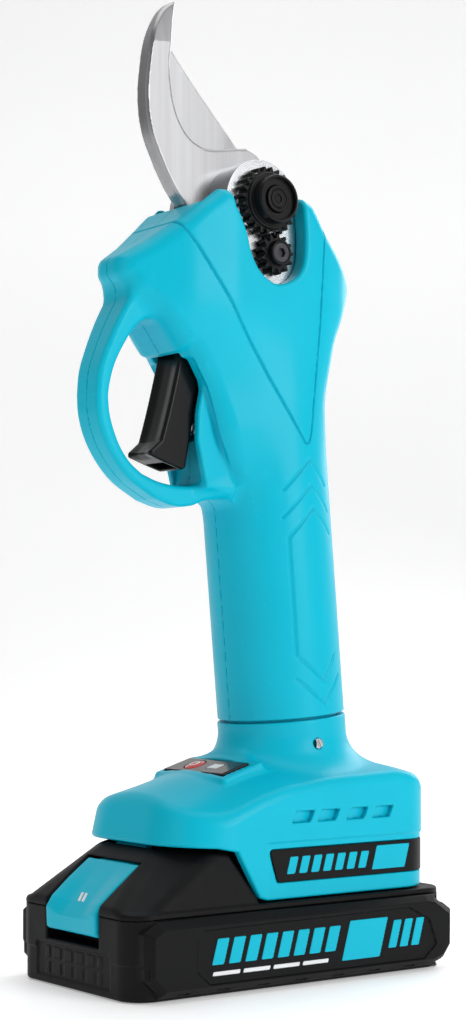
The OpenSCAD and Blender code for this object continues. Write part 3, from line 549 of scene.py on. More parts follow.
HEAD_EDGE = 4.5
HEAD_SIDE = Plane(
    rounded(
        [(-1.5, 60), (60, 60), (38.6, 120), (36.6, 142), (33, 159.8), (31.4, 173.5), (34.2, 192.4),
            (43.6, 210.5)]
        + [(27.4, 225.2), (22.2, 232.6), (18.6, 234.2), (-11.8, 233.4), (-18.2, 228.6),
            (-22.8, 224.5), (-32.5, 217)]
        + [(-41, 211.6), (-41.2, 207), (-36.2, 202), (-31, 197), (-22.6, 185.6), (-20.4, 185.2)]
        + [(-15.8, 176.5), (-12.2, 167), (-8.8, 156.5), (-5.4, 148.4), (-3.4, 142)],
        [3, 3, 20, 20, 20, 20, 20, 7, 20, 4, 2, 2, 3, 20, 20, 3.2, 3.4, 3, 12, 0.8, 0.6, 20, 20,
            20, 20, 10],
    )
)
HALF_TOP = Curve([-43, -38.5, -30, -22, -9, 25, 34, 45], [6.6, 8.8, 12.6, 16.4, 19.2, 19.2, 16.5,
    9], 2.0)
HALF_LOW = Curve([-36, -27, -12, 2, 13, 22, 30, 38], [7.5, 9.8, 13.8, 17.5, 19.4, 19.4, 16, 9],
    2.0)


def head(x, y, z):
    low_share = smooth_step((204 - z) / 32)
    half = HALF_TOP(x) * (1 - low_share) + HALF_LOW(x) * low_share
    return meet(HEAD_SIDE(x, z), (np.abs(y) - half) * 0.95, HEAD_EDGE + 2 * low_share)


GUARD = Plane(
    spline([(-32.5, 207), (-36.5, 202), (-41, 194.3), (-44.9, 185.8), (-47.3, 178.9),
        (-48.1, 172)])[:-1]
    + spline([(-48.1, 172), (-47.7, 166.1), (-45.7, 159.5), (-41.8, 153), (-36.1, 147.2),
        (-27.5, 142.2)])[:-1]
    + spline([(-27.5, 142.2), (-20.6, 140.3), (-14.5, 140.7), (-9.3, 142.6), (-1, 143.8),
        (4, 143.6)])
    + spline([(4, 148), (-4, 147.2), (-12.3, 146.6), (-19.8, 146.4), (-26.5, 147.4),
        (-32.1, 149.4)])[:-1]
    + spline([(-32.1, 149.4), (-36.3, 152.6), (-39.7, 157), (-42.1, 162.2), (-43.4, 166.7),
        (-43.9, 171.3)])[:-1]
    + spline([(-43.9, 171.3), (-43.3, 175.4), (-41.7, 180.8), (-38.9, 186.4), (-35.8, 191),
        (-30.5, 195.8), (-23, 199)])
)
GUARD_HALF = Curve([140, 146, 152, 168, 182, 192, 204], [6.4, 6.2, 6.0, 6.2, 6.6, 7.4, 8.2], 3.0)


def guard(x, y, z):
    half = GUARD_HALF(z) + 3.5 * smooth_step((x + 13) / 13) * (z < 160)
    return meet(GUARD(x, z), np.abs(y) - half, 1.7)


def grip(x, y, z):
    return np.hypot(on_grip(x, z)[1], y) - GRIP_R


V_LINE = Plane(
    spline([(-26.5, 226), (-24.6, 221.8), (-22.4, 218.3), (-19.5, 214.5), (-10, 200.6)], 4)[:-1]
    + spline([(-10, 200.6), (4, 180), (15.4, 163), (18.2, 160), (19.9, 163.4), (21, 174),
        (23.3, 194.7)], 4)[:-1]
    + spline([(23.3, 194.7), (25.2, 222), (26.2, 238)], 3),
    closed=False,
)
CHEVRON_LINES = [
    Plane(points, closed=False)
    for points in (
        [(9.9, 145.8), (19.1, 155.3), (26.4, 147.8)],
        [(9.9, 137.6), (19.8, 147.8), (27.8, 140.2)],
        [(29.5, 96.4), (24.9, 88.6), (14.8, 95.9), (11.8, 131.5), (20.6, 140.8), (28.6, 133.4)],
        [(14.8, 89), (24.9, 81.9), (32, 90.3)],
    )
]
CHEEK_CUT = Plane(
    spline([(-9.5, 246), (-8.2, 230.5), (-6.1, 225.8), (-3.9, 221), (-2.4, 215.9), (-0.2, 211.6),
        (2.7, 208.7)])[:-1]
    + spline([(2.7, 208.7), (6.9, 207), (11.6, 207.9), (15.6, 210.7), (17.6, 214.8), (18.1, 222),
        (17.4, 230)])[1:-1]
    + spline([(17.4, 230), (17.2, 246)])
)
TRIGGER_ROOM = Plane(
    rounded(
        [(-23.4, 180), (-20.5, 184), (-19.9, 190.6), (-10.4, 190.6), (-9, 182), (-4.8, 182),
            (-4.8, 161.4)]
        + [(-11.5, 160.6), (-11.5, 145), (-30, 145), (-34, 166)],
        0.5,
    )
)
RIB_SIDE = Plane([(-13.2, 177), (-15, 168), (-15.2, 160), (-13.4, 152), (-11.8, 146), (-2, 146),
    (-2, 177)])
REAR_WALL = Plane([(-11.7, 160.6), (-11.7, 146), (-2, 146), (-2, 160.6)])
SHROUD_ROOM = Plane(
    rounded(
        [(-24, 178), (-21.4, 184.4), (-17.6, 183.6), (-12.4, 175), (-9, 166), (-5.8, 156.5),
            (-2.8, 147)]
        + [(-40, 146), (-40, 170)],
        1.0,
    )
)
SLOT_SIDE = Plane([(-14.5, 217), (-13, 226), (-19.5, 242), (21, 242), (25.5, 228), (25.6, 217)])
BLADE_SLOT = Plane([(-13.6, 226), (-16.8, 230.7), (-19.8, 234.2), (-27, 245), (-9, 245),
    (-9, 226)])
HOUSING_SCREWS = [(-29.5, 206, 6.5), (-15.5, 197.5, 10), (30.6, 194, 10), (35.5, 210, 8),
    (18.9, 122, 11), (21.9, 88, 11)]


def head_room(x, y, z):
    """Space for the gear case, the swing of the sector gear and the blades."""
    s, across = on_drive(x, z)
    room = np.minimum(np.hypot(x - PIVOT_X, z - PIVOT_Z) - 22.6, SLOT_SIDE(x, z))
    room = np.minimum(room, np.maximum(np.abs(across) - 13.4, slab(s, 14, FRAME_BLOCK_END + 1)))
    room = np.maximum(room, slab(y, -13.7, 16.6))
    return np.minimum(room, np.maximum(BLADE_SLOT(x, z), slab(y, -4.2, 5.4)))


def housing(x, y, z):
    share = smooth_step((z - 141 + 0.6 * (10 - x)) / 34)
    outer = grip(x, y, z) * (1 - share) + head(x, y, z) * share
    outer = outer + groove(V_LINE(x, z), 1.1, 0.7) * ((np.abs(y) > 6) | (x < -20))
    for line in CHEVRON_LINES:
        outer = outer + groove(line(x, z), 1.7, 0.45) * (np.abs(y) > 5)
    shroud = cut(meet(SHROUD_ROOM(x, z), np.abs(y) - 11.6, 1.5), grip(x, y, z) - 0.5, 1)
    outer = cut(outer, shroud, 0.5)
    outer = join(outer, meet(RIB_SIDE(x, z), np.abs(np.abs(y) - 8.4) - 1.3, 0.8), 1.5)
    outer = join(outer, np.maximum(REAR_WALL(x, z), np.abs(y) - 8), 0.6)
    outer = cut(outer, np.maximum(CHEEK_CUT(x, z), 6 - np.abs(y)), 1.3)
    inner = np.minimum(drive_cylinder(x, y, z, FRAME_BLOCK_END, 150, 16.5),
        grip_cylinder(x, y, z, -20, 10, 14.8))
    for cx, cz, _ in HOUSING_SCREWS[4:]:
        inner = cut(inner, pin(x, y, z, (cx, cz), 3.6, -20, 20))
    inner = np.minimum(inner, np.maximum(TRIGGER_ROOM(x, z), np.abs(y) - 7.1))
    inner = np.minimum(inner, head_room(x, y, z))
    shell = cut(outer, inner, 0.4)
    shell = join(shell, np.maximum(guard(x, y, z), x + 3.5), 4.2)
    for cx, cz, seat in HOUSING_SCREWS:
        shell = cut(shell, pin(x, y, z, (cx, cz), 2.9, seat, 22), 0.4)
    height, across = on_grip(x, z)
    shell = meet(shell, -1.1 - height, 0.4)
    spigot = np.abs(np.hypot(across, y) - 16) - 1.2
    return np.minimum(shell, np.maximum(spigot, slab(height, -5, 2)))


def housing_half(side):
    return lambda x, y, z: np.maximum(housing(x, y, z), 0.005 - side * y)


for side, name in ((-1, "housing_left"), (1, "housing_right")):
    low = (-49, -20 if side < 0 else 0, 73)
    high = (45, 0 if side < 0 else 20, 238)
    surface(name + "_shell", housing_half(side), low, high, 0.42, "tool",
        teal_plastic, (name,))

# ---- Foot ----

FOOT_MID = Curve([-38, -34, -19, -6, 2.5, 46, 54, 60.5],
    [53.4, 55.2, 59.4, 63, 64.4, 64, 62.2, 58], 1.2)
FOOT_DROP = Curve([-37, -20, 8, 19, 48, 60], [6, 9, 6, 4.2, 2.6, 2.6], 3.0)
FOOT_UNDER = Plane([(-50, 42.4), (-38, 42.0), (-22, 41.3), (-15.8, 40), (-8, 26.3),
    (-5, 25.3)] + [(75, 25.3), (75, 95), (-50, 95)])
BAND_SIDE = Plane(rounded([(-4.6, 40), (-1.6, 30.2), (75, 30.2), (75, 40)], [1.3, 1.3, 0, 0]))
NECK_R = 19.8
VENTS = (3.7, 13.2, 24.2, 34.2)
COLLAR_SCREW = (21.9, 69.6)
PANEL_AT = (-5.4, 62)
PANEL_SLOPE = math.radians(17)
BUTTON_Y = 5.4
FOOT_HALF = 30.5
FOOT_BACK = 60.5


def round_plan(x, y, x0, x1, half, r):
    """A rectangle in plan with rounded corners."""
    qx = np.abs(x - (x0 + x1) / 2) - (x1 - x0) / 2 + r
    qy = np.abs(y) - half + r
    return np.hypot(np.maximum(qx, 0), np.maximum(qy, 0)) + np.minimum(np.maximum(qx, qy), 0) - r


def foot_plan(x, y, z):
    front = -35 + 0.25 * np.clip(z - 46, -3, 12)  # the front face leans back
    return round_plan(x, y, front, FOOT_BACK, FOOT_HALF, np.where(x < 12, 20, 12))


def foot_top(x, y):
    return FOOT_MID(x) - FOOT_DROP(x) * (np.abs(y) / 29) ** 2


def on_panel(x, z):
    """Panel coordinates: along its slope and above its face."""
    dx, dz = x - PANEL_AT[0], z - PANEL_AT[1]
    cos, sin = math.cos(PANEL_SLOPE), math.sin(PANEL_SLOPE)
    return dx * cos + dz * sin, dz * cos - dx * sin


def vents(x, y, z, plan):
    """Four leaning slots, deeper towards their back ends."""
    best = np.full_like(x, 99)
    for start in VENTS:
        along = x - 0.47 * (z - 47.4) - start
        slot = meet(slab(along, 0, 7), slab(z, 47.4, 50.8), 0.4)
        best = np.minimum(best, np.maximum(slot, -plan - 0.7 - 0.16 * along))
    return np.maximum(best, 20 - np.abs(y))


def foot(x, y, z):
    plan = foot_plan(x, y, z)
    body = meet(plan, (z - foot_top(x, y)) * 0.95, 2.6)
    lx, lz = on_panel(x, z)
    body = join(body, block(lx, y, lz, (-7, -18, -9), (8.4, 18, 0.35), 0.9), 2.0)
    body = join(body, np.hypot(on_grip(x, z)[1], y) - NECK_R, 9)
    body = meet(body, on_grip(x, z)[0] + 1.9, 0.5)
    body = body + groove(z - 41.7, 1.0, 0.4) * smooth_step((x + 7) / 3) * (plan > -2)
    body = meet(body, FOOT_UNDER(x, z), 0.8)
    body = cut(body, np.maximum(BAND_SIDE(x, z), -plan - 1.0), 0.25)
    body = cut(body, vents(x, y, z, plan), 0.2)
    channel = np.maximum(plan + 2.5, block(x, y, z, (-60, -27.9, 20), (57.2, 27.9, 44)))
    wiring = np.maximum(np.maximum(plan + 2.5, 43 - z), z - foot_top(x, y) + 3.2)
    inner = np.minimum(np.minimum(channel, wiring), grip_cylinder(x, y, z, -30, 1, 17.4))
    inner = np.minimum(inner, block(lx, y, lz, (-4.4, -14.2, -5.5), (4.4, 14.2, 5)))
    inner = np.minimum(inner, block(lx, y, lz, (-5.35, -15.35, -0.12), (5.35, 15.35, 5)))
    body = cut(body, inner, 0.25)
    return cut(body, np.maximum(pin(x, y, z, COLLAR_SCREW, 1.6, -25, 25), 18 - np.abs(y)), 0.3)


def foot_band(x, y, z):
    plan = foot_plan(x, y, z)
    return meet(meet(plan + 0.22, -plan - 0.96, 0.1), BAND_SIDE(x, z) + 0.1, 0.2)


def slanted_bars(x, z, first, last, count, gap, z0, z1, lean=0.28):
    """A row of leaning bars of equal width."""
    along = x - lean * (z - z0) - first
    pitch = (last - first) / count
    bars = np.abs(np.mod(along, pitch) - pitch / 2) - (pitch - gap) / 2
    return meet(np.maximum(bars, slab(along, 0, last - first)), slab(z, z0, z1), 0.35)


def band_marks(x, y, z):
    marks = slanted_bars(x, z, 1.0, 32.5, 7, 1.5, 32.6, 37.6)
    marks = np.minimum(marks, slanted_bars(x, z, 33.6, 47.6, 1, 1.0, 31.4, 38.9))
    return np.maximum(marks, slab(foot_plan(x, y, z), -0.8, -0.1))


def collar_heads(x, y, z):
    """Small domed screws with a slot, one on each side of the collar."""
    dx, dz = x - COLLAR_SCREW[0], z - COLLAR_SCREW[1]
    body = meet(np.hypot(dx, dz) - 1.6, slab(np.abs(y), 15.2, 20.5), 0.4)
    return cut(body, np.maximum(np.abs(dx + 0.5 * dz) - 0.3, 20.0 - np.abs(y)), 0.1)


def control_panel(x, y, z):
    lx, lz = on_panel(x, z)
    plate = block(lx, y, lz, (-5.2, -15.2, -0.1), (5.2, 15.2, 1.1), 0.45)
    plate = np.minimum(plate, block(lx, y, lz, (-4.3, -14.1, -3), (4.3, 14.1, 0.2), 0.2))
    plate = cut(plate, np.maximum(np.hypot(lx, y - BUTTON_Y) - 3.6, slab(lz, -4, 3)), 0.2)
    return cut(plate, block(lx, y, lz, (-1.95, -7.45, 0.6), (1.95, -2.55, 3)), 0.15)


def power_button(x, y, z):
    lx, lz = on_panel(x, z)
    across = np.hypot(lx, y - BUTTON_Y)
    cap = meet(across - 3.35, slab(lz, -1.6, 1.35 - 0.05 * across * across + 0.3), 0.35)
    return join(cap, np.maximum(across - 1.2, slab(lz, -5.2, -1)), 0.2)


def power_mark(x, y, z):
    """A ring with a gap and a short bar."""
    lx, lz = on_panel(x, z)
    across = np.hypot(lx, y - BUTTON_Y)
    gap = 0.5 - np.hypot(np.maximum(1.4 - lx, 0), y - BUTTON_Y)
    ring = np.maximum(np.abs(across - 1.5) - 0.2, gap)
    bar = np.maximum(np.abs(y - BUTTON_Y) - 0.2, slab(lx, 0.5, 2.1))
    face = 1.65 - 0.05 * across * across
    return np.maximum(np.minimum(ring, bar), slab(lz, face - 0.3, face + 0.08))


surface("foot_body", foot, (-39, -31, 25), (61, 31, 79), 0.55, "tool",
    teal_plastic, ("foot_shell",))
surface("band_skin", foot_band, (-6, -31, 30.5), (61, 31, 42), 0.4, "tool",
    black_plastic, ("foot_band",))
surface("band_marks", band_marks, (0, -31, 32), (52, 31, 41), 0.25, "tool",
    teal_plastic)
surface("collar_heads", collar_heads, (21, -21, 67), (26, 21, 72), 0.2, "tool",
    bright_screw, ("collar_screws",))
surface("panel_plate", control_panel, (-12, -16, 57), (1, 16, 66), 0.22, "tool",
    gloss_black, ("control_panel",))
surface("start_cap", power_button, (-10, 1, 56), (-1, 10, 66), 0.2, "start_button",
    red_plastic, ("power_button",))
surface("start_mark", power_mark, (-9, 2, 60), (-2, 9, 66), 0.12, "start_button",
    white_plastic)

# ---- Battery pack ----

BUMPER = Plane(rounded([(-50, 6.6), (-44.8, 1.2), (56, 1.2), (60.6, 2.6), (64, 7), (64, 18),
    (56.8, 22.9)] + [(53, 23.6), (-45.2, 22.8), (-50, 19.8)], 0.8))
PACK_PANEL = Plane(rounded([(-31, 19.4), (45.4, 20), (53.4, 15.8), (56.4, 8), (51.4, 3.9),
    (-29, 4), (-33.4, 8), (-33.4, 16.4)], 0.5))
COVER_SIDE = Plane(rounded([(-52.9, 20), (-52.9, 25.7), (-34.8, 40.3), (-33.4, 41.2), (-30, 41.3),
    (-22.4, 40.8), (-16.4, 39.4), (-8.6, 26), (-8, 20)], [0.5, 1.6, 2, 0.8, 0.8, 1, 2, 1, 0.5]))
LATCH_ROOM = Plane([(-64, 13.8), (-46.5, 13.8), (-43.4, 21.5), (-42.9, 24.9), (-36.6, 28.6),
    (-30, 28.6), (-30, 48), (-33.5, 48), (-33.5, 37.4), (-38.9, 36.9), (-50, 46), (-64, 46)])
LATCH_MID = Plane(rounded([(-38.6, 36.5), (-39.6, 35.8), (-46, 29.9), (-50.4, 25.4), (-53.3, 21.6),
    (-53.2, 17.4), (-52.4, 16.7), (-50.6, 16.7), (-50.2, 21.6), (-38.6, 32.4),
    (-37.4, 34.2)], 0.5))
LATCH_EDGE = Plane(rounded([(-38.6, 36.6), (-39.6, 36), (-46.2, 31), (-51.8, 26.2), (-53.7, 23.2),
    (-53.5, 17.5), (-52.6, 16.7), (-50.6, 16.7), (-50.2, 21.6), (-38.6, 32.4),
    (-37.4, 34.2)], [0.5, 0.5, 6, 1.5, 1.2, 0.6, 0.6, 0.3, 0.5, 0.5, 0.2]))
LATCH_HOOK = Plane([(-39, 33.6), (-38.4, 34.2), (-30.5, 34.2), (-30.5, 41.2), (-32.4, 41.2),
    (-33.1, 40.2), (-33.1, 36.8), (-38.6, 36.4)])
PACK_SCREWS = [(-47.8, -22), (-47.8, 22), (59, -28), (59, 28)]
PACK_SIDE = 35.0
PACK_ENDS = (-53, 64)
TUB_TOP = 23.0
CELL_FRONT = -42.8
TERMINALS = (-9, 0, 9)


def pack_plan(x, y):
    return round_plan(x, y, *PACK_ENDS, 31.6, 8.5)


def tub(x, y, z):
    plan = pack_plan(x, y)
    body = meet(plan, slab(z, 0, TUB_TOP + 3), 1.1)
    bumper = chamfer(BUMPER(x, z), np.abs(y) - PACK_SIDE, 2.4)
    bumper = cut(bumper, np.maximum(PACK_PANEL(x, z), PACK_SIDE - 0.6 - np.abs(y)), 0.25)
    notch = np.abs(np.mod(x + 44, 14) - 7) - 1.6
    notch = np.maximum(np.maximum(notch, slab(x, -40, 54)), np.maximum(z - 2.2, 32.4 - np.abs(y)))
    bumper = cut(bumper, notch, 0.3)
    body = join(body, bumper, 0.5)
    body = body + groove(z - 10.2, 0.8, 0.3) * (np.abs(y) < 33.6)
    plaque = block(x, y, z, (-60, -19.8, 2.4), (-52.3, 19.8, 12.6), 0.8)
    ribs = np.abs(np.mod(y + 18, 6) - 3) - 2.1
    ribs = np.maximum(np.maximum(ribs, slab(y, -15, 15)), slab(np.abs(z - 7.5), 0.7, 3.9))
    plaque = cut(plaque, np.maximum(ribs, -52.55 - x), 0.2)
    body = cut(body, plaque, 0.3)
    cells = np.maximum(np.maximum(plan + 2.2, 2.4 - z), CELL_FRONT - x)
    cells = np.minimum(cells, block(x, y, z, (CELL_FRONT, -33, 3.4), (60.5, 33, 21.9)))
    body = cut(body, cells, 0.3)
    body = cut(body, np.maximum(LATCH_ROOM(x, z), np.abs(y) - 14), 0.6)
    for cx, cy in PACK_SCREWS:
        across = np.hypot(x - cx, y - cy)
        body = cut(body, np.minimum(np.maximum(across - 2.6, z - 1),
            np.maximum(across - 1.4, z - 5)), 0.2)
    return np.maximum(body, z - TUB_TOP)


def cover(x, y, z):
    plan = pack_plan(x, y)
    side = np.abs(y) - 31 + 0.27 * (z - 24.6)
    corner = -0.40 * (x + 46) + 0.484 * (np.abs(y) - 31.2) + 0.779 * (z - 24.6)
    front = meet(meet(COVER_SIDE(x, z), side * 0.965, 1.2), corner, 2.0)
    front = np.maximum(front, plan + 0.08)
    body = join(meet(plan + 0.08, slab(z, TUB_TOP - 3, 24.8), 0.8), front, 0.6)
    body = np.minimum(body, block(x, y, z, (-22, -22.8, 24), (47, 22.8, 41), 0.5))
    body = np.minimum(body, block(x, y, z, (-4, -25.5, 30), (47, 25.5, 34), 0.4))
    body = cut(body, np.maximum(LATCH_ROOM(x, z), np.abs(y) - 14), 0.6)
    body = cut(body, block(x, y, z, (-28, -20, 22), (44.5, 20, 38.6)))
    for at in TERMINALS:
        body = cut(body, block(x, y, z, (35, at - 0.9, 30), (48, at + 0.9, 39.4)), 0.15)
    return np.maximum(body, TUB_TOP + 0.04 - z)


def latch(x, y, z):
    """A scooped thumb pad, raised along both sides, above a hook."""
    share = smooth_step((np.abs(y) - 4) / 8.5)
    pad = meet(LATCH_MID(x, z) * (1 - share) + LATCH_EDGE(x, z) * share, np.abs(y) - 13.4, 0.7)
    return join(pad, meet(LATCH_HOOK(x, z), np.abs(y) - 8, 0.3), 0.3)


def latch_mark(x, y, z):
    """Two small leaning bars on the thumb pad."""
    along = (x + 49.2) * 0.7 + (z - 26.7) * 0.714
    out = (z - 26.7) * 0.7 - (x + 49.2) * 0.714
    bars = np.abs(np.abs(y - 0.35 * along) - 1.0) - 0.5
    return np.maximum(np.maximum(bars, np.abs(along) - 1.5), slab(out, -0.6, 0.25))


def pack_marks(x, y, z):
    marks = slanted_bars(x, z, -29, 17.5, 8, 1.7, 9.4, 16.8)
    marks = np.minimum(marks, slanted_bars(x, z, 18.6, 34.2, 1, 1.0, 6.2, 17.8))
    marks = np.minimum(marks, slanted_bars(x, z, 36.4, 50.0, 3, 1.4, 8.4, 16.6))
    return np.maximum(marks, slab(np.abs(y), PACK_SIDE - 1.1, PACK_SIDE - 0.42))


def pack_lines(x, y, z):
    marks = slanted_bars(x, z, -28.6, 14.4, 4, 1.2, 6.3, 7.5)
    return np.maximum(marks, slab(np.abs(y), PACK_SIDE - 1.1, PACK_SIDE - 0.45))


surface("tub_body", tub, (-53, -35, 0), (64, 35, 23), 0.55, "pack", pack_plastic,
    ("battery_tub",))
surface("cover_body", cover, (-53, -32, 23), (64, 32, 44), 0.5, "pack",
    pack_plastic, ("battery_cover",))
surface("latch_pad", latch, (-54, -13.5, 16), (-30, 13.5, 43), 0.35, "pack_latch",
    teal_plastic, ("battery_latch",))
surface("latch_mark", latch_mark, (-53, -3, 23), (-45, 3, 31), 0.16, "pack_latch",
    white_plastic)
surface("pack_marks", pack_marks, (-30, -35, 5), (55, 35, 19), 0.3, "pack",
    teal_plastic)
surface("pack_lines", pack_lines, (-30, -35, 5.8), (16, 35, 8), 0.25, "pack",
    white_plastic)

# ---- Trigger ----

TRIGGER_SIDE = Plane(
    bezier((-18.6, 188), (-20.4, 180), (-23.2, 168.6), (-26.2, 159.4), 12)
    + rounded([(-29.9, 156.2), (-29.9, 154.9), (-24, 152.9), (-17.4, 150.9), (-15.6, 160),
        (-12.6, 174.6)], [0.8, 0.7, 9, 1.4, 20, 20])[:-3]
    + rounded([(-12.6, 174.6), (-11.6, 181), (-11.8, 187.4), (-14, 189.4), (-17.2, 189.4),
        (-18.6, 188)], 0.5)[3:]
)
TRIGGER_FRONT = Curve([150, 155.8, 160.9, 168.4, 177.4, 188],
    [-30.4, -29.6, -26.2, -23.6, -21.1, -18.6], 1.2)
TRIGGER_HOLLOW = Plane([(-25, 148), (-23.2, 160), (-20.2, 172), (-18.6, 179), (-15.2, 179),
    (-15.4, 172), (-18.2, 160), (-19.6, 148)])
TRIGGER_HALF = 6.3


def trigger(x, y, z):
    body = meet(TRIGGER_SIDE(x, z), np.abs(y) - TRIGGER_HALF, 0.9)
    front = smooth_step(1 - (x - TRIGGER_FRONT(z)) / 3)
    # The face is dished between raised edges.
    body = body + 0.7 * smooth_step(1.35 - np.abs(y) / 4.2) * front * (z > 152)
    body = cut(body, meet(TRIGGER_HOLLOW(x, z), np.abs(y) - 4.6, 0.6), 0.3)
    return cut(body, pin(x, y, z, (TRIGGER_X, TRIGGER_Z), 1.53, -9, 9))


surface("trigger_body", trigger, (-31, -7, 150), (-11, 7, 190), 0.35, "trigger_lever",
    trigger_black, ("trigger",))

# ---- Blades ----

HOOK = Plane(
    spline([(-9, 219.4), (-13.4, 226), (-16.4, 230.7), (-19.3, 234.1), (-22.5, 239),
        (-25.4, 244.5)])[:-1]
    + spline([(-25.4, 244.5), (-27.5, 249.2), (-28.9, 254.8), (-29.4, 260), (-29.3, 265),
        (-28.6, 271)])[:-1]
    + spline([(-28.6, 271), (-27.9, 275.5), (-26.3, 280.8), (-23.6, 286), (-20.6, 289.2),
        (-17.2, 291.2)])
    + spline([(-17.2, 291.2), (-18.7, 285), (-20, 277.8), (-20.6, 272.4), (-20.5, 266.5),
        (-19.6, 260.7)])[1:-1]
    + spline([(-19.6, 260.7), (-17.5, 255.3), (-13.9, 250.7), (-9.5, 248.5), (-4.7, 248.2),
        (1.7, 249.4), (7.7, 250.3)])[:-1]
    + spline([(7.7, 250.3), (12.5, 248), (19, 239), (25, 224)])
    + [np.array((19.5, 219.6))]
)
HOOK_LUGS = [(-9, 221.5), (19.5, 223)]
MOVING_EDGE = bezier((-17.2, 277), (-29, 268), (-28.5, 246), (-7.2, 229), 20)
MOVING = Plane(
    MOVING_EDGE
    + [np.array((PIVOT_X, PIVOT_Z - 12.8))]
    + [np.array(p) for p in arc(PIVOT_X, PIVOT_Z, 13, -90, 20, 14)]
    + bezier((17.5, 236), (15.5, 246), (-1.5, 258), (-17.2, 277), 20)
)
CUTTING_EDGE = Plane(MOVING_EDGE, closed=False)
HOOK_Y = (-3.5, 1.5)
BLADE_Y = (1.55, 4.55)
BOLT_HOLE = 4.03


def hook(x, y, z):
    """The fixed blade: ground flat on both sides and thinned towards its tip."""
    near = HOOK_Y[0] + 0.16 * np.maximum(z - 277.2 - 0.12 * (x + 24), 0)
    side = HOOK(x, z)
    face = near - y
    body = np.maximum(side, y - HOOK_Y[1])
    body = np.maximum(np.maximum(body, face), (side + face + 0.75) * 0.7071)
    body = cut(body, pin(x, y, z, (PIVOT_X, PIVOT_Z), BOLT_HOLE, -9, 9), 0.2)
    for at in HOOK_LUGS:
        body = cut(body, pin(x, y, z, at, 2.1, -9, 9), 0.15)
    return body


def moving_blade(x, y, z):
    """The cutting blade: flat against the hook, bevelled on its far side."""
    body = np.maximum(MOVING(x, z), slab(y, *BLADE_Y))
    bevel = (y - BLADE_Y[0] - 0.25 - 0.34 * CUTTING_EDGE(x, z)) * 0.947
    body = meet(body, bevel, 0.15)
    body = cut(body, pin(x, y, z, (PIVOT_X, PIVOT_Z), 6.0, -9, 9), 0.1)
    for turn in (100, 220, 340):
        at = (PIVOT_X + 9.3 * math.cos(math.radians(turn)),
            PIVOT_Z + 9.3 * math.sin(math.radians(turn)))
        body = cut(body, pin(x, y, z, at, 1.5, -9, 9), 0.1)
    return body


surface("hook_blade", hook, (-30, -3.5, 216), (26, 1.5, 292), 0.35, "tool",
    hook_steel, ("fixed_blade",))
surface("swing_blade", moving_blade, (-28, 1.5, 218), (19, 4.6, 279), 0.35, "cutting_blade",
    blade_steel, ("moving_blade",))

# ---- Nut and its lock gear ----

LOCK_ANGLE = math.radians(-79)
NUT_TEETH = 24
LOCK_TEETH = 13
GEARS_FAR_Y = -13.95
LOCK_X, LOCK_Z = [JOINTS["nut_lock_turn"]["pos_m"][i] / MM for i in (0, 2)]


def gear_outline(cx, cz, teeth, tooth_at, middle, swing, width):
    """Rounded teeth: a wave clipped at the tips and the roots."""
    out = []
    for i in range(teeth * 14):
        a = 2 * math.pi * i / (teeth * 14)
        wave = max(-1.0, min(1.0, 1.5 * math.cos(teeth * (a - tooth_at)) + width))
        r = middle + swing * wave
        out.append((cx + r * math.cos(a), cz + r * math.sin(a)))
    return Plane(out)


NUT_SIDE = gear_outline(PIVOT_X, PIVOT_Z, NUT_TEETH, LOCK_ANGLE, 9.5, 0.78, -0.05)
LOCK_TOOTH_AT = LOCK_ANGLE + math.pi + math.pi / LOCK_TEETH
LOCK_SIDE = gear_outline(LOCK_X, LOCK_Z, LOCK_TEETH, LOCK_TOOTH_AT, 5.4, 0.78, -0.2)


def lathe(across, y, rings):
    """Stacked rings given as (radius, near y, far y, edge radius)."""
    body = None
    for r, y0, y1, edge in rings:
        ring = meet(across - r, slab(y, y0, y1), edge)
        body = ring if body is None else join(body, ring, 0.15)
    return body


def nut(x, y, z):
    across = np.hypot(x - PIVOT_X, z - PIVOT_Z)
    teeth = meet(NUT_SIDE(x, z), slab(y, -17.6, GEARS_FAR_Y), 0.35)
    body = join(teeth, lathe(across, y, [(8.4, -18.6, -14, 0.5), (7.1, -22.5, -14, 0.8)]), 0.2)
    body = cut(body, np.maximum(np.abs(across - 9.0) - 0.22, -y - 17.3), 0.1)
    body = cut(body, np.maximum(across - 6.1, y + 20.9), 0.5)
    body = cut(body, np.maximum(across - BOLT_HOLE, slab(y, -30, 0)), 0.2)
    return body


def lock_gear(x, y, z):
    across = np.hypot(x - LOCK_X, z - LOCK_Z)
    teeth = meet(LOCK_SIDE(x, z), slab(y, -17.4, GEARS_FAR_Y), 0.3)
    body = join(teeth, lathe(across, y, [(3.7, -19.6, -14, 0.4)]), 0.2)
    body = cut(body, np.maximum(across - 2.9, y + 17.9), 0.25)
    return cut(body, np.maximum(across - 2.03, slab(y, -30, 0)), 0.1)


def bolt(x, y, z):
    """The pivot bolt: a ringed end inside the nut and a hexagon head at the back."""
    dx, dz = x - PIVOT_X, z - PIVOT_Z
    across = np.hypot(dx, dz)
    body = meet(across - 3.97, slab(y, -21.8, 16.5), 0.3)
    body = cut(body, np.maximum(np.abs(across - 2.8) - 0.25, y + 21.4), 0.1)
    body = cut(body, np.maximum(across - 1.2, y + 21.2), 0.2)
    sides = [np.abs(dx * math.cos(a) + dz * math.sin(a))
        for a in (math.pi / 6, math.pi / 2, 5 * math.pi / 6)]
    head = meet(np.maximum.reduce(sides) - 5.7, slab(y, 16.4, 19.6), 0.4)
    return np.minimum(body, head)


surface("nut_ring", nut, (-6.5, -22.6, 219), (17, -13.9, 243.5), 0.25, "nut",
    black_oxide, ("lock_nut",))
surface("lock_ring", lock_gear, (1.5, -19.7, 209), (15.5, -13.9, 223.5), 0.22, "nut_lock",
    black_oxide, ("lock_gear",))
surface("bolt_body", bolt, (-2, -21.9, 225), (12.5, 19.7, 238), 0.22, "tool",
    black_oxide, ("pivot_bolt",))

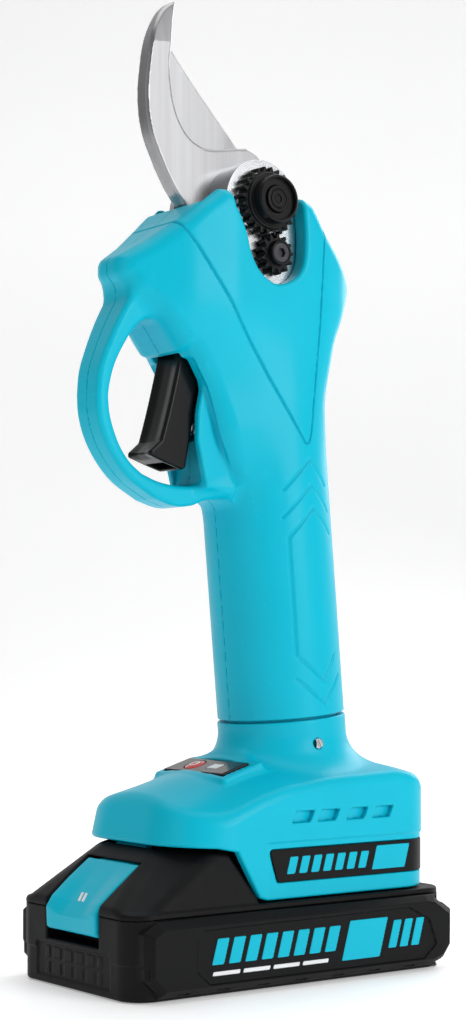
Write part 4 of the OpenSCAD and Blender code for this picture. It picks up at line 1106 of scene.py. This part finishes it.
# ---- Finishes of the CAD pieces that stay as they are ----


def ringed(name, color, roughness):
    """Turned metal: fine rings round the pivot axis."""
    shader = Shader(name, color, roughness, Metallic=1.0, Anisotropic=0.3)
    place = shader.node("ShaderNodeMapping")
    place.inputs["Location"].default_value = (-PIVOT_X * MM, 0, -PIVOT_Z * MM)
    shader.link(shader.coords, place.inputs["Vector"])
    rings = shader.node("ShaderNodeTexWave", wave_type="RINGS", rings_direction="Y")
    rings.inputs["Scale"].default_value = 700
    rings.inputs["Distortion"].default_value = 0.6
    rings.inputs["Detail"].default_value = 2
    shader.link(place.outputs["Vector"], rings.inputs["Vector"])
    cloud = shader.noise(50, 3)
    base = shader.blend(shader.spread(cloud, 0, 1), color, tuple(c * 0.85 for c in color))
    rough = shader.spread(rings.outputs["Fac"], roughness - 0.04, roughness + 0.06, 0, 1)
    return shader.finish(base, rough, shader.bump(rings.outputs["Fac"], 0.000004))


def wound(name, color, roughness, pitch):
    """A wrap or winding: thin parallel lines along one axis."""
    shader = Shader(name, color, roughness)
    lines = shader.node("ShaderNodeTexWave", bands_direction="Z")
    lines.inputs["Scale"].default_value = pitch
    lines.inputs["Distortion"].default_value = 0.4
    shader.link(shader.coords, lines.inputs["Vector"])
    base = shader.blend(shader.spread(lines.outputs["Fac"], 0, 1, 0, 1), color,
        tuple(c * 0.7 for c in color))
    rough = shader.spread(shader.noise(90, 3), roughness - 0.05, roughness + 0.08)
    return shader.finish(base, rough, shader.bump(lines.outputs["Fac"], 0.00002))


FINISHES = {
    "blade_steel": blade_steel,
    "cast_frame": ringed("cast_frame", (0.72, 0.73, 0.75), 0.24),
    "dark_steel": black_oxide,
    "bright_steel": machined("bright_steel", (0.62, 0.63, 0.65), 0.25),
    "bronze": machined("bronze", (0.60, 0.42, 0.20), 0.32),
    "teal_plastic": teal_plastic,
    "black_plastic": black_plastic,
    "pack_plastic": pack_plastic,
    "red_plastic": red_plastic,
    "lens": white_plastic,
    "board": machined("board", (0.02, 0.16, 0.07), 0.35, metallic=0.0),
    "board_parts": machined("board_parts", (0.05, 0.05, 0.055), 0.4, metallic=0.2),
    "wire": moulded_plastic("wire", (0.5, 0.02, 0.02), 0.4, grain=500),
    "cell_wrap": wound("cell_wrap", (0.08, 0.22, 0.5), 0.35, 40),
    "contact": machined("contact", (0.83, 0.60, 0.28), 0.22),
    "nickel": machined("nickel", (0.66, 0.64, 0.60), 0.28),
    "screw": machined("screw", (0.05, 0.05, 0.055), 0.32, metallic=0.8),
    "motor_steel": machined("motor_steel", (0.38, 0.39, 0.41), 0.35),
}
for part in frame["record"]["subparts"]:
    node = bpy.data.objects[part["node"]]
    finish = FINISHES[part["material_slot"]]
    node.data.materials.clear()
    node.data.materials.append(finish)


# ---- Stage, lights and camera ----


def area_light(name, at, to, size, energy, color=(1, 1, 1)):
    light = bpy.data.lights.new(name, "AREA")
    light.shape = "RECTANGLE"
    light.size, light.size_y = size
    light.energy = energy
    light.color = color
    obj = bpy.data.objects.new(name, light)
    obj.location = at
    obj.rotation_euler = (Vector(to) - Vector(at)).to_track_quat("-Z", "Y").to_euler()
    bpy.context.scene.collection.objects.link(obj)


def floor():
    """A pale sweep that runs up behind the tool."""
    mesh = bpy.data.meshes.new("floor")
    sweep = bmesh.new()
    reach, bend = 3.0, 0.6
    rows = [(-reach, 0)] + [(0.9 + bend * math.sin(a), bend * (1 - math.cos(a)))
        for a in np.linspace(0, 1.45, 12)]
    heading = Vector((math.sin(CAMERA_TURN), math.cos(CAMERA_TURN)))
    across = Vector((heading.y, -heading.x))
    lines = []
    for along, up in rows + [(rows[-1][0] + 0.2, 3.0)]:
        lines.append([sweep.verts.new((*(heading * along + across * side * reach), up))
            for side in (-1, 1)])
    for a, b in zip(lines, lines[1:]):
        sweep.faces.new((a[0], a[1], b[1], b[0]))
    sweep.to_mesh(mesh)
    sweep.free()
    mesh.shade_smooth()
    obj = bpy.data.objects.new("floor", mesh)
    bpy.context.scene.collection.objects.link(obj)
    shader = Shader("floor", (0.93, 0.93, 0.93), 0.55)
    tint = shader.blend(shader.spread(shader.noise(3, 2), 0, 1), (0.93, 0.93, 0.93),
        (0.9, 0.9, 0.905))
    shader.bsdf.inputs["Emission Color"].default_value = (1, 1, 1, 1)
    shader.bsdf.inputs["Emission Strength"].default_value = 0.3
    obj.data.materials.append(shader.finish(tint))


CAMERA_TURN = math.radians(36.5)  # the camera looks along (sin, cos) of this
floor()
area_light("key", (0.35, -1.15, 0.55), (0, 0, 0.13), (0.6, 0.9), 8)
area_light("fill", (-1.1, -0.25, 0.5), (0, 0, 0.13), (0.5, 1.0), 1.0)
area_light("rim", (0.9, 0.3, 0.7), (0, 0, 0.15), (0.5, 1.0), 4)
area_light("top", (0.0, 0.1, 1.2), (0, 0, 0.1), (1.0, 1.0), 5)
world = bpy.data.worlds.new("studio")
world.use_nodes = True
world.node_tree.nodes["Background"].inputs["Color"].default_value = (1, 1, 1, 1)
world.node_tree.nodes["Background"].inputs["Strength"].default_value = 0.3
bpy.context.scene.world = world
bpy.context.scene.view_settings.view_transform = "Standard"

camera = bpy.data.cameras.new("camera")
camera.sensor_width = 36
camera.lens = 70.94
camera.shift_y = 0.127
camera.clip_start = 0.01
camera_object = bpy.data.objects.new("camera", camera)
camera_object.location = (-0.35925, -0.49177, 0.101)
camera_object.rotation_euler = (math.pi / 2, 0, -CAMERA_TURN)
bpy.context.scene.collection.objects.link(camera_object)
bpy.context.scene.camera = camera_object
